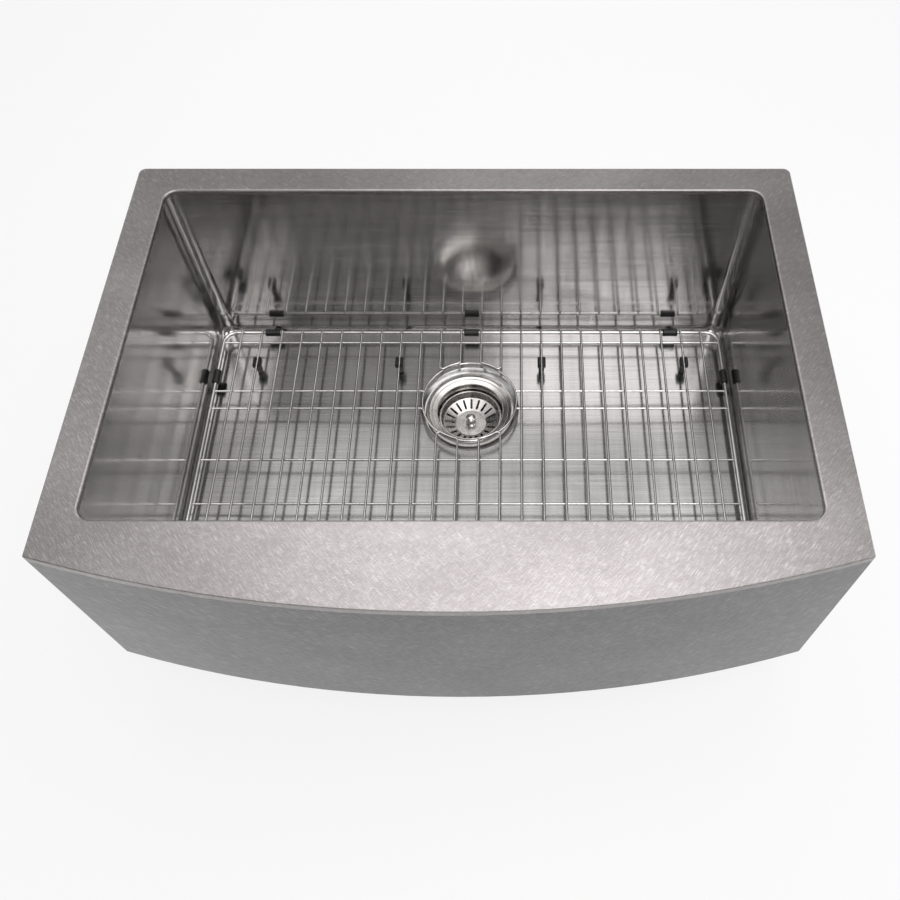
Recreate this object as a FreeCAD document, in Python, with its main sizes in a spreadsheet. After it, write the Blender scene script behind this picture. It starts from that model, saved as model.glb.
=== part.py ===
"""Apron-front kitchen sink: folded steel bowl, deck and bowed apron, with its bottom
grid and basket strainer.

Frame: millimetres, +Z up. The origin is on the deck's top face, at the middle of its
rear edge. X runs across the sink, Y = 0 is the rear edge and the apron is at -Y. Every
"depth" below is a distance down from the deck's top face.
"""
import FreeCAD, Part
import math
import os
import Sketcher

from FreeCAD import Placement, Rotation, Vector

# ---------------------------------------------------------------- driving dimensions
SIZES = {
    # whole sink
    "sink_width": 762, "side_depth": 500, "front_bow": 52.5, "sheet": 1.5,
    "rear_corner_radius": 8, "edge_radius": 1.2, "front_corner_radius": 2,
    # deck opening and its rolled lip
    "opening_width": 688, "rear_ledge": 37, "front_ledge": 37, "opening_radius": 15,
    "lip_depth": 6, "lip_roll": 2.2,
    # apron
    "fold_depth": 8, "apron_height": 254, "apron_return": 60, "apron_lip": 22,
    "brace_x": 190, "brace_width": 25, "brace_height": 14, "brace_depth": 224,
    # bowl
    "bowl_depth": 247, "lean_side": 1.5, "lean_end": 4, "floor_bend": 10,
    "floor_fall": 3.5, "floor_margin": 12,
    "pad_thickness": 3, "side_pad_length": 330, "side_pad_height": 140,
    "side_pad_depth": 55, "end_pad_length": 520, "bottom_pad_start": 95,
    "bottom_pad_end": 310, "bottom_pad_rear": 75, "bottom_pad_length": 330,
    # drain
    "drain_rear": 171.5, "hole_radius": 45.5, "hole_depth": 255.5,
    "recess_radius": 60, "recess_depth": 251.5, "recess_slope": 0.4, "recess_rim": 10,
    "flange_radius": 57.15, "flange_sheet": 1.6, "bead_width": 2.6, "bead_step": 1.2,
    "putty": 1, "throat_radius": 43, "throat_sheet": 1.3, "thread_radius": 44.6,
    "cup_depth": 297, "cup_bend": 5, "cup_bevel": 4.4, "outlet_radius": 20,
    "spigot_radius": 23.6, "spigot_end": 324, "spider_bar": 3, "spider_hub": 6,
    "gasket_depth": 260.5, "washer_depth": 261.5, "thread_gap": 0.3,
    "locknut_depth": 272, "locknut_radius": 60, "locknut_hub": 52, "locknut_rim": 3.5,
    "lug_reach": 62, "lug_width": 12, "lug_count": 6,
    "tail_washer_depth": 327, "tail_nut_depth": 331, "tail_bore": 19.6,
    "nut_corner": 33, "nut_flat": 31, "nut_grip": 15,
    # basket
    "basket_radius": 41.2, "basket_rim_depth": 266.3, "basket_roll": 1.4,
    "basket_taper": 3.7, "basket_plate_depth": 282, "basket_flat": 20,
    "basket_rise": 6, "basket_sheet": 1, "slot_inner": 22, "slot_outer": 35,
    "slot_width": 3, "slot_count": 20, "seat_gap": 0.1,
    "post_top": 267, "knob_radius": 6.9, "post_neck": 2.9, "post_flare": 6.5,
    "stem_radius": 4.4, "stem_length": 7, "pin_radius": 2.5, "pin_length": 4.4,
    "pin_head": 5.4, "pin_head_height": 2, "stopper_radius": 24, "stopper_boss": 12,
    "stopper_shoulder": 3, "stopper_skirt": 3.6, "stopper_recess": 6.5,
    # bottom grid
    "grid_half": 334.5, "grid_rear": 57.7, "grid_front": 441.8, "grid_corner": 17,
    "frame_wire": 2.5, "thin_wire": 1.5, "wire_depth": 228, "wire_pitch": 27,
    "ring_radius": 61, "finger_bend": 4,
    "foot_width": 10.7, "foot_length": 13, "foot_rise": 3.4, "foot_head": 8,
    "foot_bevel": 1.6, "notch_top": 3.8, "notch_low": 2.2, "leg_top": 4.4,
    "leg_tip": 3.8, "leg_round": 1, "foot_end": 247.3, "foot_inset": 53,
    "bumper_radius": 5, "bumper_length": 20, "bumper_bevel": 1.2, "bumper_x": 270,
    "bumper_inset": 74.5,
}
CROSS_WIRE_REAR = (76, 155.8, 183, 260.6, 322.9, 347, 423.5)
BROKEN_CROSS_WIRES = (155.8, 183)
WIRES_PER_SIDE = 12
FINGER_WIRES = 2
OVERRUN = 1.0

doc = FreeCAD.newDocument("apron_sink")
dims = doc.addObject("Spreadsheet::Sheet", "dims")
for row, (alias, value) in enumerate(SIZES.items(), start=1):
    dims.set(f"A{row}", alias)
    dims.set(f"B{row}", str(value))
    dims.setAlias(f"B{row}", alias)
doc.recompute()

nodes = {}

# The front edge is an arc through both front corners.
ARC_RADIUS = "((dims.sink_width / 2) ^ 2 + dims.front_bow ^ 2) / (2 * dims.front_bow)"
ARC_CENTRE = f"{ARC_RADIUS} - dims.side_depth - dims.front_bow"
CONE_SLOPE = "(dims.hole_depth - dims.recess_depth) / (dims.recess_radius - dims.hole_radius)"


# ---------------------------------------------------------------- helpers
def value_of(expression):
    """Number that an expression on the sheet gives."""
    return float(dims.evalExpression(expression))


def bind(thing, **expressions):
    """Tie properties of an object to expressions on the sheet."""
    for name, expression in expressions.items():
        thing.setExpression(name, expression)
    return thing


def shift(thing, x="0", y="0", depth="0"):
    """Tie the place of an object to expressions; depth counts downwards."""
    thing.setExpression("Placement.Base.x", x)
    thing.setExpression("Placement.Base.y", y)
    thing.setExpression("Placement.Base.z", f"-({depth})")
    return thing


def primitive(kind, name, axis=None, angle=0.0, **expressions):
    thing = doc.addObject(kind, name)
    if axis is not None:
        thing.Placement = Placement(Vector(), Rotation(axis, angle))
    return bind(thing, **expressions)


def boolean(kind, name, *shapes):
    thing = doc.addObject(kind, name)
    if kind in ("Part::Cut", "Part::Common"):
        thing.Base, thing.Tool = shapes
    elif kind == "Part::Compound":
        thing.Links = list(shapes)
    else:
        thing.Shapes = list(shapes)
    return thing


def node(thing, name):
    """Hand a sub-part in under its own name."""
    thing.Label = name
    nodes[name] = thing
    return thing


def new_body(name):
    return doc.addObject("PartDesign::Body", name)


def new_sketch(body, name, role="XY_Plane", depth="0"):
    """Sketch on one of the body's own planes, lowered by a depth."""
    sketch = body.newObject("Sketcher::SketchObject", name)
    plane = next(p for p in body.Origin.OriginFeatures if p.Role == role)
    sketch.AttachmentSupport = [(plane, "")]
    sketch.MapMode = "FlatFace"
    if depth != "0":
        sketch.setExpression("AttachmentOffset.Base.z", f"-({depth})")
    return sketch


def constrain(sketch, name, kind, where, expression):
    index = sketch.addConstraint(Sketcher.Constraint(kind, *where, value_of(expression)))
    sketch.renameConstraint(index, name)
    sketch.setExpression(f"Constraints.{name}", expression)


def rectangle(sketch, width, rear, front):
    """Rectangle centred on X that spans from rear to front (distances from Y = 0)."""
    half = value_of(width) / 2
    near, far = -value_of(rear), -value_of(front)
    corners = [Vector(-half, near), Vector(half, near), Vector(half, far), Vector(-half, far)]
    for start in range(4):
        sketch.addGeometry(Part.LineSegment(corners[start], corners[(start + 1) % 4]))
    for side in range(4):
        sketch.addConstraint(Sketcher.Constraint("Coincident", side, 2, (side + 1) % 4, 1))
    for kind, side in (("Horizontal", 2), ("Vertical", 1), ("Vertical", 3)):
        sketch.addConstraint(Sketcher.Constraint(kind, side))
    sketch.addConstraint(Sketcher.Constraint("Symmetric", 0, 1, 0, 2, -2))
    constrain(sketch, "width", "DistanceX", (0, 1, 0, 2), width)
    constrain(sketch, "rear", "DistanceY", (0, 1, -1, 1), rear)
    constrain(sketch, "front", "DistanceY", (2, 1, -1, 1), front)


def rounded_rectangle(sketch, width, rear, front, radius):
    """Rectangle like the one above, with an arc at each corner."""
    half, bend = value_of(width) / 2, value_of(radius)
    near, far = -value_of(rear), -value_of(front)
    corners = (((half, near), (-1, -1), 0), ((half, far), (-1, 1), -math.pi / 2),
               ((-half, far), (1, 1), math.pi), ((-half, near), (1, -1), math.pi / 2))
    lines = (((bend - half, near), (half - bend, near)), ((half, near - bend), (half, far + bend)),
             ((half - bend, far), (bend - half, far)), ((-half, far + bend), (-half, near - bend)))
    for (start, end), ((x, y), (inward_x, inward_y), angle) in zip(lines, corners):
        sketch.addGeometry(Part.LineSegment(Vector(*start), Vector(*end)))
        centre = Vector(x + inward_x * bend, y + inward_y * bend)
        corner = Part.Circle(centre, Vector(0, 0, 1), bend)
        sketch.addGeometry(Part.ArcOfCircle(corner, angle, angle + math.pi / 2))
    for line in (0, 2, 4, 6):
        arc, following = line + 1, (line + 2) % 8
        sketch.addConstraint(Sketcher.Constraint("Tangent", line, 2, arc, 2))
        sketch.addConstraint(Sketcher.Constraint("Tangent", arc, 1, following, 1))
    for kind, side in (("Horizontal", 4), ("Vertical", 2), ("Vertical", 6)):
        sketch.addConstraint(Sketcher.Constraint(kind, side))
    for arc in (1, 3, 5):
        sketch.addConstraint(Sketcher.Constraint("Equal", arc, arc + 2))
    sketch.addConstraint(Sketcher.Constraint("Symmetric", 0, 1, 0, 2, -2))
    constrain(sketch, "corner", "Radius", (1,), radius)
    constrain(sketch, "width", "DistanceX", (6, 1, 2, 1), width)
    constrain(sketch, "rear", "DistanceY", (0, 1, -1, 1), rear)
    constrain(sketch, "front", "DistanceY", (4, 1, -1, 1), front)


def bowed_outline(sketch, inset, rear):
    """Outline of the sink in plan: straight sides and rear, bowed front."""
    half = value_of(f"dims.sink_width / 2 - {inset}")
    radius = value_of(f"{ARC_RADIUS} - {inset}")
    centre = Vector(0, value_of(ARC_CENTRE))
    near = 0.0 if rear == "0" else -value_of(rear)
    far = centre.y - math.sqrt(radius ** 2 - half ** 2)
    left_angle = math.atan2(far - centre.y, -half)
    right_angle = math.atan2(far - centre.y, half)
    circle = Part.Circle(centre, Vector(0, 0, 1), radius)
    sketch.addGeometry(Part.LineSegment(Vector(-half, near), Vector(half, near)))
    sketch.addGeometry(Part.LineSegment(Vector(half, near), Vector(half, far)))
    sketch.addGeometry(Part.ArcOfCircle(circle, left_angle, right_angle))
    sketch.addGeometry(Part.LineSegment(Vector(-half, far), Vector(-half, near)))
    for first, end, second, begin in ((0, 2, 1, 1), (1, 2, 2, 2), (2, 1, 3, 1), (3, 2, 0, 1)):
        sketch.addConstraint(Sketcher.Constraint("Coincident", first, end, second, begin))
    sketch.addConstraint(Sketcher.Constraint("Vertical", 1))
    sketch.addConstraint(Sketcher.Constraint("Vertical", 3))
    sketch.addConstraint(Sketcher.Constraint("Symmetric", 0, 1, 0, 2, -2))
    constrain(sketch, "width", "DistanceX", (0, 1, 0, 2), f"dims.sink_width - 2 * {inset}")
    constrain(sketch, "bow_radius", "Radius", (2,), f"{ARC_RADIUS} - {inset}")
    constrain(sketch, "bow_centre", "DistanceY", (-1, 1, 2, 3), ARC_CENTRE)
    if rear == "0":
        sketch.addConstraint(Sketcher.Constraint("PointOnObject", 0, 1, -1))
    else:
        constrain(sketch, "rear", "DistanceY", (0, 1, -1, 1), rear)


def outline(sketch, points):
    """Closed outline of straight lines; each point is two expressions of either sign."""
    places = [Vector(value_of(x), value_of(y)) for x, y in points]
    count = len(places)
    for index in range(count):
        sketch.addGeometry(Part.LineSegment(places[index], places[(index + 1) % count]))
    for index in range(count):
        following = (index + 1) % count
        sketch.addConstraint(Sketcher.Constraint("Coincident", index, 2, following, 1))
    for index, (x, y) in enumerate(points):
        for name, kind, axis, size in (("x", "DistanceX", -2, x), ("y", "DistanceY", -1, y)):
            if value_of(size) > 0:
                constrain(sketch, f"{name}_{index}", kind, (-1, 1, index, 1), size)
            elif value_of(size) < 0:
                constrain(sketch, f"{name}_{index}", kind, (index, 1, -1, 1), f"-({size})")
            else:
                sketch.addConstraint(Sketcher.Constraint("PointOnObject", index, 1, axis))


def centred_rectangle(sketch, width, length):
    """Rectangle about the sketch's origin, width along X and length along Y."""
    x, y = f"({width}) / 2", f"({length}) / 2"
    outline(sketch, [(f"-{x}", y), (x, y), (x, f"-{y}"), (f"-{x}", f"-{y}")])


def circle(sketch, radius):
    sketch.addGeometry(Part.Circle(Vector(), Vector(0, 0, 1), value_of(radius)))
    sketch.addConstraint(Sketcher.Constraint("Coincident", 0, 3, -1, 1))
    constrain(sketch, "radius", "Radius", (0,), radius)


def pad(body, sketch, length, name, down=True):
    feature = body.newObject("PartDesign::Pad", name)
    feature.Profile = sketch
    feature.Reversed = down
    feature.setExpression("Length", length)
    doc.recompute()
    return feature


def pocket(body, sketch, name, length=None, both_ways=False):
    """Cut downwards from a sketch, or both ways, and make sure that it cut."""
    before = body.Shape.Volume
    feature = body.newObject("PartDesign::Pocket", name)
    feature.Profile = sketch
    feature.Midplane = both_ways
    if length is None:
        feature.Type = "ThroughAll"
    else:
        feature.setExpression("Length", length)
    doc.recompute()
    if not body.Shape.Volume < before:
        raise ValueError(f"{name} cuts nothing")
    return feature


def revolve(body, sketch, name):
    feature = body.newObject("PartDesign::Revolution", name)
    feature.Profile = sketch
    feature.ReferenceAxis = (sketch, ["V_Axis"])
    feature.Angle = 360
    doc.recompute()
    return feature


def turned(name, points):
    """Body turned about the vertical axis; each point is a radius and a depth."""
    body = new_body(name)
    sketch = new_sketch(body, f"{name}_section", "XZ_Plane")
    outline(sketch, [(radius, f"-({depth})") for radius, depth in points])
    revolve(body, sketch, f"{name}_turn")
    return body


def edges_where(feature, wanted):
    return [f"Edge{number}" for number, edge in enumerate(feature.Shape.Edges, start=1)
            if wanted(edge)]


def round_edges(body, base, wanted, radius, name):
    names = edges_where(base, wanted)
    if not names:
        raise ValueError(f"{name} finds no edges")
    feature = body.newObject("PartDesign::Fillet", name)
    feature.Base = (base, names)
    feature.setExpression("Radius", radius)
    doc.recompute()
    return feature


def is_upright(edge):
    if len(edge.Vertexes) != 2:
        return False
    first, second = (vertex.Point for vertex in edge.Vertexes)
    plan_run = math.hypot(first.x - second.x, first.y - second.y)
    return abs(first.z - second.z) > 3 * plan_run


def lies_at(edge, depth, tolerance=0.01):
    return all(abs(vertex.Point.z + depth) < tolerance for vertex in edge.Vertexes)


def mid_point(edge):
    return edge.valueAt((edge.FirstParameter + edge.LastParameter) / 2)


# ---------------------------------------------------------------- bowl
def bowl_form(name, grow):
    """Closed tapering box with rounded corners; grow is its offset from the inside."""
    body = new_body(name)
    top = new_sketch(body, f"{name}_top", depth="dims.lip_depth")
    rectangle(top, f"dims.opening_width + 2 * {grow}", f"dims.rear_ledge - {grow}",
              f"dims.side_depth - dims.front_ledge + {grow}")
    bottom = new_sketch(body, f"{name}_bottom", depth=f"dims.bowl_depth + {grow}")
    rectangle(bottom, f"dims.opening_width - 2 * dims.lean_side + 2 * {grow}",
              f"dims.rear_ledge + dims.lean_end - {grow}",
              f"dims.side_depth - dims.front_ledge - dims.lean_end + {grow}")
    loft = body.newObject("PartDesign::AdditiveLoft", f"{name}_loft")
    loft.Profile = top
    loft.Sections = [bottom]
    loft.Ruled = True
    doc.recompute()
    corners = round_edges(body, loft, is_upright, f"dims.opening_radius + {grow}",
                          f"{name}_corners")
    base_depth = value_of(f"dims.bowl_depth + {grow}")
    round_edges(body, corners, lambda edge: lies_at(edge, base_depth),
                f"dims.floor_bend + {grow}", f"{name}_bend")
    return body


def floor_fall(name, depth):
    """Shallow pyramid whose four creases run from the corners to the drain."""
    margin = "dims.floor_margin"
    rear = f"-(dims.rear_ledge + dims.lean_end + {margin})"
    front = f"-(dims.side_depth - dims.front_ledge - dims.lean_end - {margin})"
    half = f"dims.opening_width / 2 - dims.lean_side - {margin}"
    fall = primitive("Part::Wedge", name, Vector(1, 0, 0), -90,
                     Ymax="dims.floor_fall", Xmin=f"-({half})", Xmax=half,
                     Zmin=front, Zmax=rear, Z2min="-dims.drain_rear",
                     Z2max="-dims.drain_rear")
    fall.Ymin = 0
    fall.X2min = 0
    fall.X2max = 0
    return shift(fall, depth=depth)


def drain_cone(name, low, high, low_depth, high_depth):
    cone = primitive("Part::Cone", name, Radius1=low, Radius2=high,
                     Height=f"({low_depth}) - ({high_depth})")
    return shift(cone, y="-dims.drain_rear", depth=low_depth)


def drain_recess(name, drop):
    """Pressed recess round the drain hole: a flat cone inside a steeper rim."""
    low = f"dims.recess_depth + {drop}"
    seat = drain_cone(f"{name}_seat", "dims.hole_radius", "dims.recess_radius",
                      f"dims.hole_depth + {drop}", low)
    rim = drain_cone(f"{name}_rim", "dims.recess_radius",
                     "dims.recess_radius + dims.recess_rim", low,
                     f"{low} - dims.recess_rim * dims.recess_slope")
    return boolean("Part::MultiFuse", name, seat, rim)


def make_bowl(outside):
    inside = bowl_form("bowl_inside", "0")
    fall_above = floor_fall("fall_above", "dims.bowl_depth")
    fall_below = floor_fall("fall_below", "dims.bowl_depth + dims.sheet")
    recess_above = drain_recess("recess_above", "0")
    recess_below = drain_recess("recess_below", "dims.sheet")
    hole = primitive("Part::Cylinder", "drain_hole", Radius="dims.hole_radius",
                     Height="4 * dims.sheet")
    shift(hole, y="-dims.drain_rear", depth="dims.hole_depth + 2 * dims.sheet")
    metal = boolean("Part::MultiFuse", "bowl_metal", outside, fall_below, recess_below)
    space = boolean("Part::MultiFuse", "bowl_space", inside, fall_above, recess_above, hole)
    node(boolean("Part::Cut", "bowl_shell", metal, space), "bowl")
    return fall_below


# ---------------------------------------------------------------- deck and apron
def front_block(body, name, depth, height):
    """Solid front of the sink in plan, from the end of the side returns forward."""
    block = new_sketch(body, f"{name}_block", depth=depth)
    bowed_outline(block, "0", "dims.side_depth - dims.apron_return")
    return pad(body, block, height, f"{name}_front")


def clear_behind(body, name, depth, inset, length=None):
    """Hollow the front block out, leaving a wall of the inset's thickness."""
    space = new_sketch(body, f"{name}_space", depth=depth)
    bowed_outline(space, inset, f"dims.side_depth - dims.apron_return - {OVERRUN}")
    return pocket(body, space, f"{name}_clear", length)


def is_front_corner(edge):
    half, side = SIZES["sink_width"] / 2, SIZES["side_depth"]
    if not is_upright(edge):
        return False
    return all(abs(abs(v.Point.x) - half) < 0.01 and abs(v.Point.y + side) < 0.01
               for v in edge.Vertexes)


def make_deck():
    body = new_body("deck_body")
    plate = new_sketch(body, "deck_plate")
    bowed_outline(plate, "0", "0")
    pad(body, plate, "dims.sheet", "deck_top")
    front_block(body, "fold", "0", "dims.fold_depth")
    clear_behind(body, "fold", "dims.sheet", "dims.sheet")

    lip = new_sketch(body, "lip_outside")
    rectangle(lip, "dims.opening_width + 2 * dims.sheet", "dims.rear_ledge - dims.sheet",
              "dims.side_depth - dims.front_ledge + dims.sheet")
    lip_pad = pad(body, lip, "dims.lip_depth", "lip_block")
    corner_reach = SIZES["opening_width"] / 2 + 2 * SIZES["sheet"]
    round_edges(
        body, lip_pad,
        lambda edge: is_upright(edge) and abs(mid_point(edge).x) < corner_reach,
        "dims.opening_radius + dims.sheet", "lip_corners")

    opening = new_sketch(body, "opening")
    rounded_rectangle(opening, "dims.opening_width", "dims.rear_ledge",
                      "dims.side_depth - dims.front_ledge", "dims.opening_radius")
    cut = pocket(body, opening, "opening_cut")
    rear = round_edges(
        body, cut,
        lambda edge: is_upright(edge) and abs(mid_point(edge).y) < 0.01,
        "dims.rear_corner_radius", "rear_corners")
    front = round_edges(body, rear, is_front_corner, "dims.front_corner_radius",
                        "front_corners")

    def rolls_in(edge):
        middle = mid_point(edge)
        inside_x = abs(middle.x) < SIZES["opening_width"] / 2 + 0.01
        inside_y = (-SIZES["side_depth"] + SIZES["front_ledge"] - 0.01
                    < middle.y < -SIZES["rear_ledge"] + 0.01)
        return lies_at(edge, 0) and inside_x and inside_y

    rolled = round_edges(body, front, rolls_in, "dims.lip_roll", "lip_roll_edge")
    round_edges(body, rolled, lambda edge: lies_at(edge, 0) and not near_opening(edge),
                "dims.edge_radius", "outer_edge")
    return node(body, "deck")


def near_opening(edge):
    """True for the edge loop that the rolled lip leaves on the deck's top face."""
    middle = mid_point(edge)
    reach = SIZES["lip_roll"] + 0.5
    inside_x = abs(middle.x) < SIZES["opening_width"] / 2 + reach
    inside_y = (-SIZES["side_depth"] + SIZES["front_ledge"] - reach
                < middle.y < -SIZES["rear_ledge"] + reach)
    return inside_x and inside_y


def make_apron():
    body = new_body("apron_body")
    height = "dims.apron_height - dims.fold_depth"
    front_block(body, "apron", "dims.fold_depth", height)
    clear_behind(body, "apron", "dims.fold_depth", "dims.sheet", f"{height} - dims.sheet")
    lip = clear_behind(body, "apron_lip", "dims.fold_depth", "dims.apron_lip")
    corners = round_edges(body, lip, is_front_corner, "dims.front_corner_radius",
                          "apron_corners")

    def is_bottom_edge(edge):
        outside = all(abs(v.Point.x) > SIZES["sink_width"] / 2 - 0.01
                      or v.Point.y < -SIZES["side_depth"] + SIZES["front_corner_radius"]
                      for v in edge.Vertexes)
        inner_lip = abs(mid_point(edge).x) < 1 and mid_point(edge).y > (
            -SIZES["side_depth"] - SIZES["front_bow"] + 1)
        return lies_at(edge, SIZES["apron_height"]) and outside and not inner_lip

    round_edges(body, corners, is_bottom_edge, "dims.front_corner_radius", "apron_bottom")
    return node(body, "apron")


def make_brace(name, side, space, bowl_outside):
    """Folded channel welded between the bowl's front wall and the apron."""
    start = "dims.side_depth + dims.front_bow"
    length = "dims.front_bow + dims.front_ledge + 10"
    outer = primitive("Part::Box", f"{name}_outer", Length="dims.brace_width",
                      Width=length, Height="dims.brace_height")
    shift(outer, x=f"{side} * dims.brace_x - dims.brace_width / 2", y=f"-({start})",
          depth="dims.brace_depth + dims.brace_height")
    inner = primitive("Part::Box", f"{name}_inner",
                      Length="dims.brace_width - 2 * dims.sheet", Width=length,
                      Height="dims.brace_height")
    shift(inner, x=f"{side} * dims.brace_x - dims.brace_width / 2 + dims.sheet",
          y=f"-({start})", depth="dims.brace_depth + dims.brace_height + dims.sheet")
    channel = boolean("Part::Cut", f"{name}_channel", outer, inner)
    trimmed = boolean("Part::Common", f"{name}_trimmed", channel, space)
    return node(boolean("Part::Cut", f"{name}_shape", trimmed, bowl_outside), name)


def apron_space():
    """Room behind the apron, used to trim the braces to its curve."""
    body = new_body("apron_space")
    plan = new_sketch(body, "apron_space_plan", depth="dims.fold_depth")
    bowed_outline(plan, "dims.sheet", "dims.side_depth - dims.apron_return")
    pad(body, plan, "dims.apron_height - dims.fold_depth - dims.sheet", "apron_space_pad")
    return body


# ---------------------------------------------------------------- sound pads
def pad_window(name, x, y, depth, length, width, height):
    """Box that marks where a sound pad lies; x, y and depth are its middle and bottom."""
    box = primitive("Part::Box", name, Length=length, Width=width, Height=height)
    return shift(box, x=f"({x}) - ({length}) / 2", y=f"({y}) - ({width}) / 2", depth=depth)


def make_pads(bowl_outside, fall_below):
    """Rubber damping sheets glued to the outside of the bowl."""
    skin_outside = bowl_form("pad_outside", "(dims.sheet + dims.pad_thickness)")
    skin = boolean("Part::Cut", "pad_skin", skin_outside, bowl_outside)
    middle = "-(dims.side_depth + dims.rear_ledge - dims.front_ledge) / 2"
    low = "dims.side_pad_depth + dims.side_pad_height"
    band = "4 * dims.pad_thickness"
    side_x = "dims.opening_width / 2"
    end_y = "dims.side_depth - dims.front_ledge"
    places = {
        "sound_pad_left": (f"-({side_x})", middle, band, "dims.side_pad_length"),
        "sound_pad_right": (side_x, middle, band, "dims.side_pad_length"),
        "sound_pad_rear": ("0", "-dims.rear_ledge", "dims.end_pad_length", band),
        "sound_pad_front": ("0", f"-({end_y})", "dims.end_pad_length", band),
    }
    for name, (x, y, length, width) in places.items():
        window = pad_window(f"{name}_window", x, y, low, length, width,
                            "dims.side_pad_height")
        node(boolean("Part::Common", f"{name}_shape", skin, window), name)

    fall_under_pad = floor_fall("fall_under_pad",
                                "dims.bowl_depth + dims.sheet + dims.pad_thickness")
    length = "dims.bottom_pad_end - dims.bottom_pad_start"
    centre_x = "(dims.bottom_pad_end + dims.bottom_pad_start) / 2"
    centre_y = "-(dims.bottom_pad_rear + dims.bottom_pad_length / 2)"
    sheet_top = "dims.bowl_depth + dims.sheet"
    for name, side in (("sound_pad_bottom_left", "-1"), ("sound_pad_bottom_right", "1")):
        slab = pad_window(f"{name}_slab", f"{side} * {centre_x}", centre_y,
                          f"{sheet_top} + dims.pad_thickness", length,
                          "dims.bottom_pad_length", "dims.pad_thickness")
        window = pad_window(f"{name}_window", f"{side} * {centre_x}", centre_y,
                            f"{sheet_top} + 3 * dims.pad_thickness", length,
                            "dims.bottom_pad_length", "3 * dims.pad_thickness")
        thick = boolean("Part::MultiFuse", f"{name}_thick", slab, fall_under_pad)
        bare = boolean("Part::Cut", f"{name}_bare", thick, fall_below)
        node(boolean("Part::Common", f"{name}_shape", bare, window), name)


# ---------------------------------------------------------------- basket strainer
def seat_depth(radius, above="0"):
    """Depth of the recess's cone at a radius, less a height above it."""
    return f"dims.recess_depth + (dims.recess_radius - {radius}) * {CONE_SLOPE} - {above}"


def at_drain(body):
    return shift(body, y="-dims.drain_rear")


def make_strainer_body():
    """Flange with a beaded rim, threaded throat, cup, spider and outlet spigot."""
    flange, throat, sheet = "dims.flange_radius", "dims.throat_radius", "dims.flange_sheet"
    flange_top = f"{seat_depth(flange, 'dims.putty')} - {sheet}"
    bead_inside = f"{flange} - dims.bead_width"
    cup, bend, bevel = "dims.cup_depth", "dims.cup_bend", "dims.cup_bevel"
    points = [
        (flange, seat_depth(flange, "dims.putty")),
        (flange, flange_top),
        (bead_inside, flange_top),
        (f"{bead_inside} - dims.bead_step", f"{flange_top} + dims.bead_step"),
        (throat, f"{seat_depth(throat, 'dims.putty')} - dims.throat_sheet"),
        (throat, f"{cup} - {bend}"),
        (f"{throat} - {bend}", cup),
        ("dims.outlet_radius", cup),
        ("dims.outlet_radius", "dims.spigot_end"),
        ("dims.spigot_radius", "dims.spigot_end"),
        ("dims.spigot_radius", f"{cup} + {sheet}"),
        (f"{throat} - {bevel}", f"{cup} + {sheet}"),
        ("dims.thread_radius", f"{cup} - {bevel}"),
        ("dims.thread_radius", seat_depth("dims.thread_radius", "dims.putty")),
    ]
    body = turned("strainer_turned", points)
    reach, bar_width = "2 * dims.outlet_radius + 1", "dims.spider_bar"
    for number, (width, length) in enumerate(((reach, bar_width), (bar_width, reach))):
        bar = new_sketch(body, f"spider_bar_{number}", depth="dims.cup_depth")
        centred_rectangle(bar, width, length)
        pad(body, bar, "dims.spider_bar", f"spider_arm_{number}")
    hub = new_sketch(body, "spider_hub_plan", depth="dims.cup_depth")
    circle(hub, "dims.spider_hub")
    pad(body, hub, "dims.spider_bar", "spider_hub_pad")
    return node(at_drain(body), "strainer_body")


def make_seals():
    inner, outer = "dims.hole_radius + 1.5", "dims.flange_radius - 0.6"
    putty = turned("putty_ring", [
        (inner, seat_depth(f"({inner})", "dims.putty")),
        (outer, seat_depth(f"({outer})", "dims.putty")),
        (outer, seat_depth(f"({outer})")),
        (inner, seat_depth(f"({inner})")),
    ])
    node(at_drain(putty), "flange_seal")
    inner, outer = "dims.hole_radius", "dims.flange_radius"
    gasket = turned("gasket_ring", [
        (inner, f"{seat_depth(inner)} + dims.sheet"),
        (outer, f"{seat_depth(outer)} + dims.sheet"),
        (outer, "dims.gasket_depth"),
        (inner, "dims.gasket_depth"),
    ])
    node(at_drain(gasket), "strainer_gasket")
    washer = turned("washer_ring", [
        (inner, "dims.gasket_depth"), (outer, "dims.gasket_depth"),
        (outer, "dims.washer_depth"), (inner, "dims.washer_depth"),
    ])
    node(at_drain(washer), "friction_washer")


def make_locknut():
    """Large lugged nut that pulls the strainer down onto the bowl."""
    bore, hub = "dims.thread_radius + dims.thread_gap", "dims.locknut_hub"
    top, bottom = "dims.washer_depth", "dims.locknut_depth"
    body = turned("locknut_turned", [
        (bore, top), ("dims.locknut_radius", top),
        ("dims.locknut_radius", f"{top} + dims.locknut_rim"),
        (f"{hub} + 1", f"{top} + dims.locknut_rim + 1"), (hub, bottom), (bore, bottom),
    ])
    lug = new_sketch(body, "lug_plan", depth=top)
    root, tip = "dims.lug_width / 2", "0.75 * dims.lug_width / 2"
    outline(lug, [(f"{hub} - 1", root), ("dims.lug_reach", tip),
                  ("dims.lug_reach", f"-{tip}"), (f"{hub} - 1", f"-{root}")])
    lug_pad = pad(body, lug, f"{bottom} - {top} - 2", "lug")
    set_round(body, lug_pad, lug, "dims.lug_count", "lugs")
    return node(at_drain(body), "strainer_locknut")


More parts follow.
